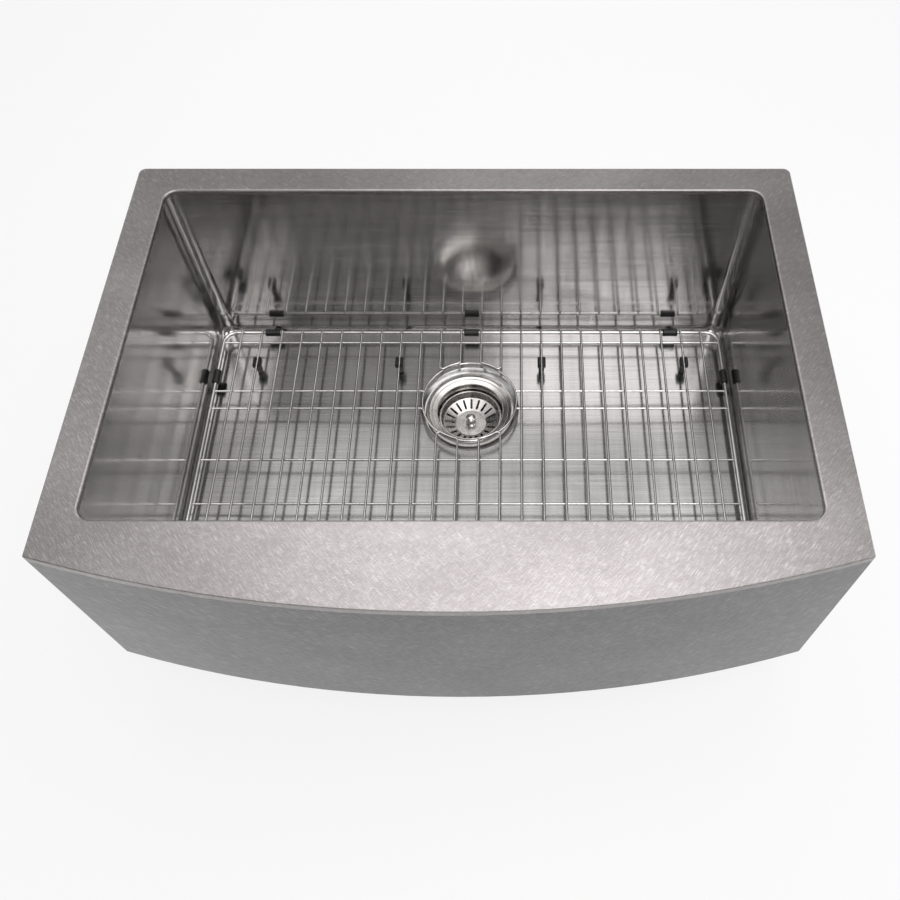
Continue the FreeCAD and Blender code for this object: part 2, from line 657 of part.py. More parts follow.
def make_outlet_fittings():
    washer = turned("tail_washer_ring", [
        ("dims.outlet_radius", "dims.spigot_end"), ("dims.spigot_radius", "dims.spigot_end"),
        ("dims.spigot_radius", "dims.tail_washer_depth"),
        ("dims.outlet_radius", "dims.tail_washer_depth"),
    ])
    node(at_drain(washer), "tailpiece_washer")
    height = "dims.tail_nut_depth - dims.spigot_end + dims.nut_grip"
    hexagon = primitive("Part::Prism", "nut_hexagon", Circumradius="dims.nut_corner",
                        Height=height)
    hexagon.Polygon = 6
    shift(hexagon, depth="dims.tail_nut_depth")
    blank = primitive("Part::Cylinder", "nut_blank", Radius="dims.nut_flat", Height=height)
    shift(blank, depth="dims.tail_nut_depth")
    thread = primitive("Part::Cylinder", "nut_thread",
                       Radius="dims.spigot_radius + dims.thread_gap", Height=height)
    shift(thread, depth="dims.tail_washer_depth")
    bore = primitive("Part::Cylinder", "nut_bore", Radius="dims.tail_bore", Height=height)
    shift(bore, depth=f"dims.tail_nut_depth + {OVERRUN}")
    blunt = boolean("Part::Common", "nut_blunt", hexagon, blank)
    inside = boolean("Part::MultiFuse", "nut_inside", thread, bore)
    nut = boolean("Part::Cut", "nut_shape", blunt, inside)
    return node(at_drain(nut), "coupling_nut")


def slot_outline(sketch, start, end, width):
    """Straight slot with round ends along X."""
    first, last, radius = value_of(start), value_of(end), value_of(width) / 2
    inner, outer = first + radius, last - radius
    up = Vector(0, 0, 1)
    sketch.addGeometry(Part.LineSegment(Vector(inner, radius), Vector(outer, radius)))
    end_circle = Part.Circle(Vector(outer, 0), up, radius)
    sketch.addGeometry(Part.ArcOfCircle(end_circle, -math.pi / 2, math.pi / 2))
    sketch.addGeometry(Part.LineSegment(Vector(outer, -radius), Vector(inner, -radius)))
    start_circle = Part.Circle(Vector(inner, 0), up, radius)
    sketch.addGeometry(Part.ArcOfCircle(start_circle, math.pi / 2, 3 * math.pi / 2))
    for first, end_at, second, start_at in ((0, 2, 1, 2), (1, 1, 2, 1), (2, 2, 3, 2),
                                            (3, 1, 0, 1)):
        sketch.addConstraint(Sketcher.Constraint("Tangent", first, end_at, second, start_at))
    sketch.addConstraint(Sketcher.Constraint("Equal", 1, 3))
    sketch.addConstraint(Sketcher.Constraint("PointOnObject", 1, 3, -1))
    sketch.addConstraint(Sketcher.Constraint("PointOnObject", 3, 3, -1))
    constrain(sketch, "round", "Radius", (1,), f"({width}) / 2")
    constrain(sketch, "inner", "DistanceX", (-1, 1, 3, 3), f"{start} + {width} / 2")
    constrain(sketch, "outer", "DistanceX", (-1, 1, 1, 3), f"{end} - {width} / 2")


def set_round(body, feature, sketch, count, name):
    """Repeat a feature evenly round the vertical axis."""
    ring = body.newObject("PartDesign::PolarPattern", name)
    ring.Originals = [feature]
    ring.Axis = (sketch, ["N_Axis"])
    ring.Angle = 360
    ring.setExpression("Occurrences", count)
    body.Tip = ring
    doc.recompute()


def make_basket():
    """Pressed basket: rolled rim, tapered wall, slotted cone and a flat middle."""
    rim, rim_depth = "dims.basket_radius", "dims.basket_rim_depth"
    plate, sheet, flat = "dims.basket_plate_depth", "dims.basket_sheet", "dims.basket_flat"
    rolled = f"{rim_depth} + dims.basket_roll"
    wall_foot, cone_top = f"{rim} - dims.basket_taper", f"{plate} - dims.basket_rise"
    hole = "dims.stem_radius + dims.seat_gap"
    body = turned("basket_turned", [
        (rim, rim_depth), (rim, rolled), (f"{rim} - 1.2 * {sheet}", rolled),
        (wall_foot, f"{cone_top} + {sheet}"), (flat, f"{plate} + {sheet}"),
        (hole, f"{plate} + {sheet}"), (hole, plate), (flat, plate),
        (f"{wall_foot} - {sheet}", cone_top), (f"{rim} - 2.2 * {sheet}", rim_depth),
    ])
    slot = new_sketch(body, "slot_plan", depth=f"{cone_top} - 2")
    slot_outline(slot, "dims.slot_inner", "dims.slot_outer", "dims.slot_width")
    cut = pocket(body, slot, "slot")
    set_round(body, cut, slot, "dims.slot_count", "slots")
    return node(at_drain(body), "basket")


def make_basket_post():
    """Turned lifting post: domed knob, thin neck, flared foot and stopper stem."""
    top, knob, plate = "dims.post_top", "dims.knob_radius", "dims.basket_plate_depth"
    neck, flare, stem = "dims.post_neck", "dims.post_flare", "dims.stem_radius"
    stem_end = f"{plate} + dims.basket_sheet + dims.stem_length"
    pin_end = f"{stem_end} + dims.pin_length"
    head_end = f"{pin_end} + dims.pin_head_height"
    body = turned("post_turned", [
        ("0", top), (f"{knob} * 0.55", f"{top} + 0.7"), (f"{knob} * 0.88", f"{top} + 2.2"),
        (knob, f"{top} + 4.4"), (f"{knob} * 0.86", f"{top} + 6.6"),
        (f"{knob} * 0.6", f"{top} + 8"), (neck, f"{top} + 9.5"),
        (neck, f"{plate} - 4.5"), (f"{neck} * 1.5", f"{plate} - 2"),
        (flare, f"{plate} - 0.8"), (flare, plate), (stem, plate), (stem, stem_end),
        ("dims.pin_radius", stem_end), ("dims.pin_radius", pin_end),
        ("dims.pin_head", pin_end), ("dims.pin_head", head_end), ("0", head_end),
    ])
    return node(at_drain(body), "basket_post")


def make_stopper():
    """Rubber disc under the basket that closes the outlet when it is pushed down."""
    top = "dims.basket_plate_depth + dims.basket_sheet + dims.stem_length"
    pin_end = f"{top} + dims.pin_length"
    face = "dims.cup_depth - dims.seat_gap"
    bore, recess = "dims.pin_radius + dims.seat_gap", "dims.stopper_recess"
    boss, radius = "dims.stopper_boss", "dims.stopper_radius"
    body = turned("stopper_turned", [
        (bore, top), (boss, top), (f"{boss} + 2", f"{top} + dims.stopper_shoulder"),
        (radius, f"{top} + dims.stopper_skirt"), (radius, face), (recess, face),
        (recess, pin_end), (bore, pin_end),
    ])
    return node(at_drain(body), "basket_stopper")


# ---------------------------------------------------------------- bottom grid
CROSS_DEPTH = "dims.wire_depth + 2 * dims.thin_wire"
FRAME_DEPTH = "dims.wire_depth + dims.thin_wire + dims.frame_wire"


def wire_along_y(name, x, rear, front, radius, depth):
    wire = primitive("Part::Cylinder", name, Vector(1, 0, 0), 90, Radius=radius,
                     Height=f"({front}) - ({rear})")
    return shift(wire, x=x, y=f"-({rear})", depth=depth)


def wire_along_x(name, rear, left, right, radius, depth):
    wire = primitive("Part::Cylinder", name, Vector(0, 1, 0), 90, Radius=radius,
                     Height=f"({right}) - ({left})")
    return shift(wire, x=left, y=f"-({rear})", depth=depth)


def wire_bend(name, x, rear, depth, bend, radius, turn_start, turn):
    """Part of a torus: a wire bent through turn degrees from turn_start."""
    bend_piece = primitive("Part::Torus", name, Vector(0, 0, 1), turn_start,
                           Radius1=bend, Radius2=radius)
    bend_piece.Angle3 = turn
    return shift(bend_piece, x=x, y=f"-({rear})", depth=depth)


def make_grid_frame():
    """Thick wire bent to a rounded rectangle and welded shut."""
    wire, bend = "dims.frame_wire", "dims.grid_corner"
    half, rear, front = "dims.grid_half", "dims.grid_rear", "dims.grid_front"
    straight_x = f"({half} - {bend})"
    pieces = [
        wire_along_x("frame_rear", rear, f"-{straight_x}", straight_x, wire, FRAME_DEPTH),
        wire_along_x("frame_front", front, f"-{straight_x}", straight_x, wire, FRAME_DEPTH),
        wire_along_y("frame_left", f"-{half}", f"{rear} + {bend}", f"{front} - {bend}",
                     wire, FRAME_DEPTH),
        wire_along_y("frame_right", half, f"{rear} + {bend}", f"{front} - {bend}",
                     wire, FRAME_DEPTH),
    ]
    corners = ((straight_x, f"{rear} + {bend}", 0), (f"-{straight_x}", f"{rear} + {bend}", 90),
               (f"-{straight_x}", f"{front} - {bend}", 180),
               (straight_x, f"{front} - {bend}", 270))
    for number, (x, y, start) in enumerate(corners):
        pieces.append(wire_bend(f"frame_corner_{number}", x, y, FRAME_DEPTH, bend, wire,
                                start, 90))
    return node(boolean("Part::MultiFuse", "grid_frame_wire", *pieces), "grid_frame")


def make_long_wires():
    """Wires that run front to rear and lie on the frame, clear of the drain ring."""
    wires = []
    for number in range(FINGER_WIRES, WIRES_PER_SIDE):
        offset = f"({number} + 0.5) * dims.wire_pitch"
        for side, sign in (("left", "-"), ("right", "")):
            wires.append(wire_along_y(f"long_wire_{side}_{number}", f"{sign}({offset})",
                                      "dims.grid_rear", "dims.grid_front",
                                      "dims.thin_wire", "dims.wire_depth"))
    return node(boolean("Part::Compound", "long_wire_set", *wires), "grid_long_wires")


def add_arc(sketch, centre, start, end):
    """Shorter arc about a centre; returns which of its ends start and end are."""
    first = math.atan2(start.y - centre.y, start.x - centre.x)
    last = math.atan2(end.y - centre.y, end.x - centre.x)
    whole = Part.Circle(centre, Vector(0, 0, 1), (start - centre).Length)
    turn = (last - first) % (2 * math.pi)
    if turn < math.pi:
        sketch.addGeometry(Part.ArcOfCircle(whole, first, first + turn))
        return 1, 2
    sketch.addGeometry(Part.ArcOfCircle(whole, last, last + 2 * math.pi - turn))
    return 2, 1


def finger_path(sketch, inner, outer, start, facing):
    """Two straights from the frame, a small bend on each, and an arc over the ring."""
    near, far, bend = value_of(inner), value_of(outer), SIZES["finger_bend"]
    ring, end_y = SIZES["ring_radius"], -value_of(start)
    drain = Vector(0, -SIZES["drain_rear"])
    bends = []
    for x in (near + bend, far - bend):
        y = drain.y + facing * math.sqrt((ring + bend) ** 2 - x ** 2)
        bends.append(Vector(x, y))
    touches = [drain + (centre - drain) * (ring / (ring + bend)) for centre in bends]
    near_end, far_end = Vector(near, bends[0].y), Vector(far, bends[1].y)
    sketch.addGeometry(Part.LineSegment(Vector(near, end_y), near_end))
    near_arc = add_arc(sketch, bends[0], near_end, touches[0])
    ring_arc = add_arc(sketch, drain, touches[0], touches[1])
    far_arc = add_arc(sketch, bends[1], touches[1], far_end)
    sketch.addGeometry(Part.LineSegment(far_end, Vector(far, end_y)))
    joints = ((0, 2, 1, near_arc[0]), (1, near_arc[1], 2, ring_arc[0]),
              (2, ring_arc[1], 3, far_arc[0]), (3, far_arc[1], 4, 1))
    for joint in joints:
        sketch.addConstraint(Sketcher.Constraint("Tangent", *joint))
    sketch.addConstraint(Sketcher.Constraint("Vertical", 0))
    sketch.addConstraint(Sketcher.Constraint("Vertical", 4))
    sketch.addConstraint(Sketcher.Constraint("PointOnObject", 2, 3, -2))
    constrain(sketch, "drain", "DistanceY", (2, 3, -1, 1), "dims.drain_rear")
    constrain(sketch, "ring", "Radius", (2,), "dims.ring_radius")
    constrain(sketch, "near_bend", "Radius", (1,), "dims.finger_bend")
    constrain(sketch, "far_bend", "Radius", (3,), "dims.finger_bend")
    constrain(sketch, "inner", "DistanceX", (-1, 1, 0, 1), inner)
    constrain(sketch, "outer", "DistanceX", (-1, 1, 4, 2), outer)
    constrain(sketch, "near_start", "DistanceY", (0, 1, -1, 1), start)
    constrain(sketch, "far_start", "DistanceY", (4, 2, -1, 1), start)


def make_finger_wires():
    """Pairs of wires joined into one where they meet the drain ring and lie on it."""
    inner, outer = "dims.wire_pitch / 2", "3 * dims.wire_pitch / 2"
    fingers = []
    for end, start, facing in (("rear", "dims.grid_rear", 1), ("front", "dims.grid_front", -1)):
        body = new_body(f"finger_{end}")
        path = new_sketch(body, f"finger_path_{end}", depth="dims.wire_depth")
        finger_path(path, inner, outer, start, facing)
        section = new_sketch(body, f"finger_section_{end}", "XZ_Plane")
        section.setExpression("AttachmentOffset.Base.z", start)
        middle = Vector(value_of(inner), -SIZES["wire_depth"])
        section.addGeometry(Part.Circle(middle, Vector(0, 0, 1), SIZES["thin_wire"]))
        constrain(section, "inner", "DistanceX", (-1, 1, 0, 3), inner)
        constrain(section, "depth", "DistanceY", (0, 3, -1, 1), "dims.wire_depth")
        constrain(section, "wire", "Radius", (0,), "dims.thin_wire")
        pipe = body.newObject("PartDesign::AdditivePipe", f"finger_pipe_{end}")
        pipe.Profile = section
        pipe.Spine = (path, [f"Edge{number}" for number in range(1, 6)])
        mirrored = doc.addObject("Part::Mirroring", f"finger_left_{end}")
        mirrored.Source = body
        mirrored.Normal = Vector(1, 0, 0)
        fingers += [body, mirrored]
    return node(boolean("Part::Compound", "finger_set", *fingers), "grid_finger_wires")


def make_cross_wires():
    """Wires under the long ones; the two that meet the ring stop at it."""
    wire = "dims.thin_wire"
    frame_face = "(dims.grid_half - dims.frame_wire)"
    wires = []
    for number, rear in enumerate(CROSS_WIRE_REAR):
        if rear in BROKEN_CROSS_WIRES:
            ring_face = (f"sqrt((dims.ring_radius + {wire}) ^ 2"
                         f" - (abs({rear} - dims.drain_rear) - {wire}) ^ 2)")
            spans = ((f"-{frame_face}", f"-{ring_face}"), (ring_face, frame_face))
        else:
            spans = ((f"-{frame_face}", frame_face),)
        for part, (left, right) in enumerate(spans):
            wires.append(wire_along_x(f"cross_wire_{number}_{part}", str(rear), left, right,
                                      wire, CROSS_DEPTH))
    return node(boolean("Part::Compound", "cross_wire_set", *wires), "grid_cross_wires")


def make_grid_ring():
    ring = primitive("Part::Torus", "drain_ring", Radius1="dims.ring_radius",
                     Radius2="dims.thin_wire")
    return node(shift(ring, y="-dims.drain_rear", depth=CROSS_DEPTH), "grid_ring")


def make_foot():
    """Rubber foot: a notched head that clips over a long wire, and a turned leg."""
    wire, side, bevel = "dims.wire_depth", "dims.foot_width / 2", "dims.foot_bevel"
    top = f"({wire} - dims.foot_rise)"
    bottom = f"{top} + dims.foot_head"
    half = [("0", wire), ("dims.notch_low / 2", wire), ("dims.notch_top / 2", top),
            (f"{side} - {bevel}", top), (side, f"{top} + {bevel}"), (side, bottom)]
    body = new_body("foot")
    head = new_sketch(body, "foot_head_section", "XZ_Plane")
    right = [(x, f"-({depth})") for x, depth in half]
    left = [(f"-({x})", depth) for x, depth in reversed(right[1:])]
    outline(head, right + left)
    block = body.newObject("PartDesign::Pad", "foot_head")
    block.Profile = head
    block.Midplane = True
    block.setExpression("Length", "dims.foot_length")

    leg = new_sketch(body, "foot_leg_section", "XZ_Plane")
    start, end = f"{bottom} - {OVERRUN}", "dims.foot_end"
    tip, rounding = "dims.leg_tip", "dims.leg_round"
    outline(leg, [("0", f"-({start})"), ("dims.leg_top", f"-({start})"),
                  (tip, f"-({end} - {rounding})"), (f"{tip} - {rounding}", f"-{end}"),
                  ("0", f"-{end}")])
    revolve(body, leg, "foot_leg")

    hole = new_sketch(body, "foot_hole", "XZ_Plane")
    hole.addGeometry(Part.Circle(Vector(0, -SIZES["wire_depth"]), Vector(0, 0, 1),
                                 SIZES["thin_wire"]))
    hole.addConstraint(Sketcher.Constraint("PointOnObject", 0, 3, -2))
    constrain(hole, "radius", "Radius", (0,), "dims.thin_wire")
    constrain(hole, "depth", "DistanceY", (0, 3, -1, 1), wire)
    pocket(body, hole, "foot_bore", both_ways=True)
    return body


def make_sleeve():
    """Rubber sleeve on the frame that keeps the grid off the bowl's walls."""
    body = new_body("sleeve")
    section = new_sketch(body, "sleeve_section", "XZ_Plane")
    bore, radius, bevel = "dims.frame_wire", "dims.bumper_radius", "dims.bumper_bevel"
    half = "dims.bumper_length / 2"
    outline(section, [
        (f"-{half}", bore), (half, bore), (half, f"{radius} - {bevel}"),
        (f"{half} - {bevel}", radius), (f"{bevel} - {half}", radius),
        (f"-{half}", f"{radius} - {bevel}"),
    ])
    turn = body.newObject("PartDesign::Revolution", "sleeve_turn")
    turn.Profile = section
    turn.ReferenceAxis = (section, ["H_Axis"])
    turn.Angle = 360
    doc.recompute()
    return body


def place_copy(master, name, x, rear, depth="0", quarter_turn=False):
    """The same piece again at another place on the grid."""
    copy = boolean("Part::Compound", f"{name}_copy", master)
    if quarter_turn:
        copy.Placement = Placement(Vector(), Rotation(Vector(0, 0, 1), 90))
    return node(shift(copy, x=x, y=f"-({rear})", depth=depth), name)


def make_feet_and_bumpers():
    foot, sleeve = make_foot(), make_sleeve()
    rows = {"rear": "dims.grid_rear + dims.foot_inset",
            "front": "dims.grid_front - dims.foot_inset"}
    columns = {"far_left": "-10.5", "mid_left": "-3.5", "mid_right": "3.5",
               "far_right": "10.5"}
    for row_name, rear in rows.items():
        for column, pitches in columns.items():
            place_copy(foot, f"grid_foot_{row_name}_{column}",
                       f"{pitches} * dims.wire_pitch", rear)
    for row_name, rear in (("rear", "dims.grid_rear"), ("front", "dims.grid_front")):
        for column, x in (("left", "-dims.bumper_x"), ("middle", "0"),
                          ("right", "dims.bumper_x")):
            place_copy(sleeve, f"grid_bumper_{row_name}_{column}", x, rear, FRAME_DEPTH)
    for column, x in (("left", "-dims.grid_half"), ("right", "dims.grid_half")):
        for row_name, rear in (("rear", "dims.grid_rear + dims.bumper_inset"),
                               ("front", "dims.grid_front - dims.bumper_inset")):
            place_copy(sleeve, f"grid_bumper_{column}_{row_name}", x, rear, FRAME_DEPTH,
                       quarter_turn=True)


# ---------------------------------------------------------------- assembly
def make_sink():
    outside = bowl_form("bowl_outside", "dims.sheet")
    fall_below = make_bowl(outside)
    make_deck()
    make_apron()
    space = apron_space()
    make_brace("apron_brace_left", "-1", space, outside)
    make_brace("apron_brace_right", "1", space, outside)
    make_pads(outside, fall_below)


def make_strainer():
    make_strainer_body()
    make_seals()
    make_locknut()
    make_outlet_fittings()
    make_basket()
    make_basket_post()
    make_stopper()


def make_grid():
    make_grid_frame()
    make_long_wires()
    make_finger_wires()
    make_cross_wires()
    make_grid_ring()
    make_feet_and_bumpers()


make_sink()
make_strainer()
make_grid()
doc.recompute()

for thing in doc.Objects:
    if "Invalid" in thing.State or "Error" in thing.State:
        raise ValueError(f"{thing.Label} did not build: {thing.State}")
os.makedirs("parts", exist_ok=True)
for name, thing in nodes.items():
    shape = thing.Shape
    if shape.isNull() or not shape.isValid() or not shape.Solids:
        raise ValueError(f"{name} is not a valid solid")
    shape.exportStep(f"parts/{name}.step")
    print(f"{name:28s} {len(shape.Solids):3d} solids {shape.Volume / 1000:10.2f} cm3")
print(len(nodes), "nodes")
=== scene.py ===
# %% [markdown]
# # An apron-front kitchen sink
# The sink is folded and welded from satin stainless steel. A wire grid lies on its
# floor and a slotted basket sits in its drain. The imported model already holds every
# solid at its real size, so this script adds what a solid model leaves out: finishes,
# weld nuggets, moulded rubber, rolled edges, threads, light and a viewpoint.

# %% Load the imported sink
import math

import bmesh
import bpy
from mathutils import Matrix, Vector


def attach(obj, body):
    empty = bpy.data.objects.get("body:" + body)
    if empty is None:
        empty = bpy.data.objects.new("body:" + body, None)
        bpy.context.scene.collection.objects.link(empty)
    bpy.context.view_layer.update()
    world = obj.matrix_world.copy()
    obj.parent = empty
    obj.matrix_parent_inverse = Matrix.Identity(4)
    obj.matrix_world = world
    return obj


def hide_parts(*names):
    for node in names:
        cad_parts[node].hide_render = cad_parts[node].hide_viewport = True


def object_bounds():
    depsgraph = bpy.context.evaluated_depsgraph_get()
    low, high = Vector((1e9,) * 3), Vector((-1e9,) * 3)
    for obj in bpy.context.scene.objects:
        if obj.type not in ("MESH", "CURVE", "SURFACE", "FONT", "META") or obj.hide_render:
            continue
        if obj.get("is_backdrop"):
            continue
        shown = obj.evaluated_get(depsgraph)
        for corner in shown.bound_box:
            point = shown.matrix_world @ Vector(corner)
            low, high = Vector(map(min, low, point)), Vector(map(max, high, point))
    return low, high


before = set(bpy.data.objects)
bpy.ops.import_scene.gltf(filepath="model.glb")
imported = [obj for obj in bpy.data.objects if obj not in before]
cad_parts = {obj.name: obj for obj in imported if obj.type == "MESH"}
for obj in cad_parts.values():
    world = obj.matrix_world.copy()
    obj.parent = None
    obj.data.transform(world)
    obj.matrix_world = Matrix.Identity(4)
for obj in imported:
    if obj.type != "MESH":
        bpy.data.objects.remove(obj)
cad_low, cad_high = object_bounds()
scene = bpy.context.scene
scene.view_settings.view_transform = "Standard"
MM = 0.001
DRAIN_Y = -171.5 * MM
print("sink box in metres:", [round(v, 4) for v in (*cad_low, *cad_high)])

# %% [markdown]
# ## Viewpoint
# The sink is seen from in front and well above, a little right of its middle. The
# lens and the tilt were worked out from the sink's edges, its grid and its flange. The
# small lens shift moves the picture on the sensor, because the sink isn't in the
# frame's middle.

# %% Place the camera
SENSOR, LENS = 36, 36.031
LENS_SHIFT = (-0.07154, 0.01737)
CAMERA_PLACE, CAMERA_TILT = (0.05833, -0.83893, 0.73181), math.radians(30.630)
camera_data = bpy.data.cameras.new("viewpoint")
camera_data.sensor_width, camera_data.lens = SENSOR, LENS
camera_data.shift_x, camera_data.shift_y = LENS_SHIFT
camera = bpy.data.objects.new("viewpoint", camera_data)
camera.location = CAMERA_PLACE
camera.rotation_euler = (CAMERA_TILT, 0, 0)
scene.collection.objects.link(camera)
scene.camera = camera
print("the camera stands", round(camera.location.z, 2), "m above the deck")

# %% [markdown]
# ## Shading helpers
# A finish is a small graph of nodes. These helpers add a node, set its inputs and
# link it, so that each finish below reads as a list of what the surface has. The same
# helpers build the trees that make geometry further down.


# %% Helpers for node graphs
def add_node(graph, kind, settings=None, **inputs):
    """One node. settings are its properties; inputs are values or sockets, by name or as in3."""
    made = graph.nodes.new(kind)
    for name, value in (settings or {}).items():
        setattr(made, name, value)
    for name, value in inputs.items():
        key = int(name[2:]) if name[:2] == "in" and name[2:].isdigit() else name.replace("_", " ")
        if isinstance(value, bpy.types.NodeSocket):
            graph.links.new(value, made.inputs[key])
        else:
            made.inputs[key].default_value = value
    return made


def calculate(graph, kind, first, second=0.0):
    """Arithmetic on two values."""
    return add_node(graph, "ShaderNodeMath", {"operation": kind}, in0=first, in1=second).outputs[0]


def combine(graph, kind, first, second):
    """Arithmetic on two directions."""
    made = add_node(graph, "ShaderNodeVectorMath", {"operation": kind}, in0=first, in1=second)
    return made.outputs[0]


def between(graph, value, low, high, start=0.0, end=1.0):
    """value runs from low to high, the result from start to end."""
    made = add_node(graph, "ShaderNodeMapRange", in0=value, in1=low, in2=high, in3=start, in4=end)
    return made.outputs[0]


def tint(graph, share, dark, light):
    """A colour between dark and light."""
    made = add_node(graph, "ShaderNodeMix", {"data_type": "RGBA"},
                    in0=share, in6=(*dark, 1), in7=(*light, 1))
    return made.outputs[2]


def noise(graph, place, stretch, turn=0.0, detail=3.0):
    """Noise with grains of 1 / stretch metres along each axis, turned about Z in degrees."""
    grain = [1 / share for share in stretch]
    turned = add_node(graph, "ShaderNodeMapping", {"vector_type": "TEXTURE"}, Vector=place,
                      Scale=grain, Rotation=(0, 0, math.radians(turn)))
    made = add_node(graph, "ShaderNodeTexNoise", Vector=turned.outputs[0], Scale=1.0,
                    Detail=detail, Roughness=0.6)
    return made.outputs["Fac"]


def start_finish(name, **surface):
    """A new material, its graph, its shader and the place on the object in metres."""
    finish = bpy.data.materials.new(name)
    finish.use_nodes = True
    graph = finish.node_tree
    shader = graph.nodes["Principled BSDF"]
    for socket, value in surface.items():
        shader.inputs[socket.replace("_", " ")].default_value = value
    place = add_node(graph, "ShaderNodeTexCoord").outputs["Object"]
    return finish, graph, shader, place


def finish_with(graph, shader, color, roughness, height=None, depth=0.0):
    """Link the colour, the roughness and a fine relief of that depth in metres."""
    graph.links.new(color, shader.inputs["Base Color"])
    graph.links.new(roughness, shader.inputs["Roughness"])
    if height is not None:
        relief = add_node(graph, "ShaderNodeBump", Height=height, Distance=depth)
        graph.links.new(relief.outputs[0], shader.inputs["Normal"])


print("shading helpers ready")

# %% [markdown]
# ## Scratch-brushed sheet
# The deck and the apron are rubbed by hand pads, which leaves short fine scratches in
# every direction. Each direction is noise stretched along a line and cut to its
# crests. The noise helper's mapping is of the texture kind, which turns a pattern
# before it stretches it. The point kind stretches first, so every scratch would lie
# level. Left of the middle the scratches that lean right catch the light, and right of
# it those that lean left, so a soft change from side to side mixes the directions.
# The apron stands upright, so its pattern is laid out on height and on X plus Y, which
# also carries it round onto the apron's sides. The deck's front bend is turned down in
# the same way, so the deck's pattern is laid out on X and on Y plus height.


# %% The scratch-brushed finish
CREST = (0.52, 0.68)
SCRATCH_SHARE, SCRATCH_DEPTH = 0.55, 0.012 * MM


def scratch_brushed(name, upright, dark, light, roughness, fine):
    """Short scratches. fine is how many lie in a metre, along and across them."""
    finish, graph, shader, place = start_finish(name, Metallic=1.0)
    parts = add_node(graph, "ShaderNodeSeparateXYZ", Vector=place).outputs
    if upright:
        along = calculate(graph, "ADD", parts[0], parts[1])
        place = add_node(graph, "ShaderNodeCombineXYZ", X=along, Y=parts[2]).outputs[0]
    else:
        across = calculate(graph, "ADD", parts[1], parts[2])
        place = add_node(graph, "ShaderNodeCombineXYZ", X=parts[0], Y=across).outputs[0]
    side = between(graph, parts[0], -0.30, 0.30)
    leans = [(-52, calculate(graph, "SUBTRACT", 1.0, side)), (52, side),
             (4, 0.35), (-30, 0.3), (30, 0.3)]
    scratches = None
    for turn, weight in leans:
        crest = between(graph, noise(graph, place, fine, turn), *CREST)
        share = calculate(graph, "MULTIPLY", crest, weight)
        scratches = share if scratches is None else calculate(graph, "ADD", scratches, share)
    scratches = calculate(graph, "MULTIPLY", scratches, SCRATCH_SHARE)
    cloud = between(graph, noise(graph, place, (9, 14, 9)), 0.35, 0.65, -0.06, 0.06)
    color = tint(graph, calculate(graph, "ADD", scratches, cloud), dark, light)
    rough = between(graph, scratches, 0, 1, roughness + 0.05, roughness - 0.05)
    finish_with(graph, shader, color, rough, scratches, SCRATCH_DEPTH)
    return finish


# The apron is the same steel as the deck, but its colours are set much darker: painted shade,
# standing in for the shaded floor that the upright apron mirrors.
finishes = {
    "deck": scratch_brushed("brushed_deck", False, (0.29, 0.268, 0.268), (0.73, 0.69, 0.69), 0.33,
                            (90, 1700, 1)),
    "apron": scratch_brushed("brushed_apron_painted_shade", True, (0.13, 0.13, 0.133), (0.36, 0.36, 0.365), 0.28,
                             (70, 900, 1)),
}
print("finishes:", sorted(finishes))

# %% [markdown]
# ## Satin bowl
# The bowl keeps the mill's satin grain. It runs level round the walls and from side to
# side on the floor. Such a grain spreads a reflection across itself, so lamps and
# wires mirrored in the back wall are drawn out up and down. The shader's anisotropy
# does that. It needs a direction across the grain, which is upwards on a wall and
# frontwards on the floor, so one mix that follows the way a face looks gives both.


# %% The satin finish
def satin(name, dark, light, floor_shade_share, low, high):
    finish, graph, shader, place = start_finish(name, Metallic=1.0, Anisotropic=0.6)
    look = add_node(graph, "ShaderNodeNewGeometry").outputs["Normal"]
    upward = add_node(graph, "ShaderNodeSeparateXYZ", Vector=look).outputs[2]
    level = between(graph, calculate(graph, "ABSOLUTE", upward), 0.6, 0.9)
    across = add_node(graph, "ShaderNodeMix", {"data_type": "VECTOR"},
                      in0=level, in4=(0, 0, 1), in5=(0, 1, 0))
    graph.links.new(across.outputs[1], shader.inputs["Tangent"])
    wall = noise(graph, place, (9, 9, 800))
    floor_lines = noise(graph, place, (9, 800, 9))
    lines = add_node(graph, "ShaderNodeMix", {"data_type": "FLOAT"},
                     in0=level, in2=wall, in3=floor_lines).outputs[0]
    streaks = noise(graph, place, (60, 4, 4))
    both = calculate(graph, "ADD", calculate(graph, "MULTIPLY", lines, 0.6),
                     calculate(graph, "MULTIPLY", streaks, 0.4))
    share = between(graph, both, 0.36, 0.64)
    # Faces that look up, the bowl's floor, are painted darker than the walls: painted shade on the
    # same steel.
    floor_painted_shade = between(graph, level, 0, 1, 1.0, floor_shade_share)
    color = combine(graph, "MULTIPLY", tint(graph, share, dark, light),
                    add_node(graph, "ShaderNodeCombineXYZ", X=floor_painted_shade, Y=floor_painted_shade, Z=floor_painted_shade).outputs[0])
    rough = calculate(graph, "ADD", between(graph, both, 0.36, 0.64, low, high),
                      calculate(graph, "MULTIPLY", level, 0.07))
    finish_with(graph, shader, color, rough)
    return finish


finishes["bowl"] = satin("satin_bowl", (0.46, 0.45, 0.445), (0.60, 0.59, 0.585), 0.74, 0.10, 0.14)
print("bowl finish ready")

# %% [markdown]
# ## Turned strainer
# The strainer's flange and the basket's plate are finished on a lathe, so their marks
# are circles round the drain. A lamp mirrored in such marks spreads into two fans that
# meet at the middle. The direction across the marks is worked out at every spot from
# the arm that reaches to it from the drain's axis, so the circles stay true.


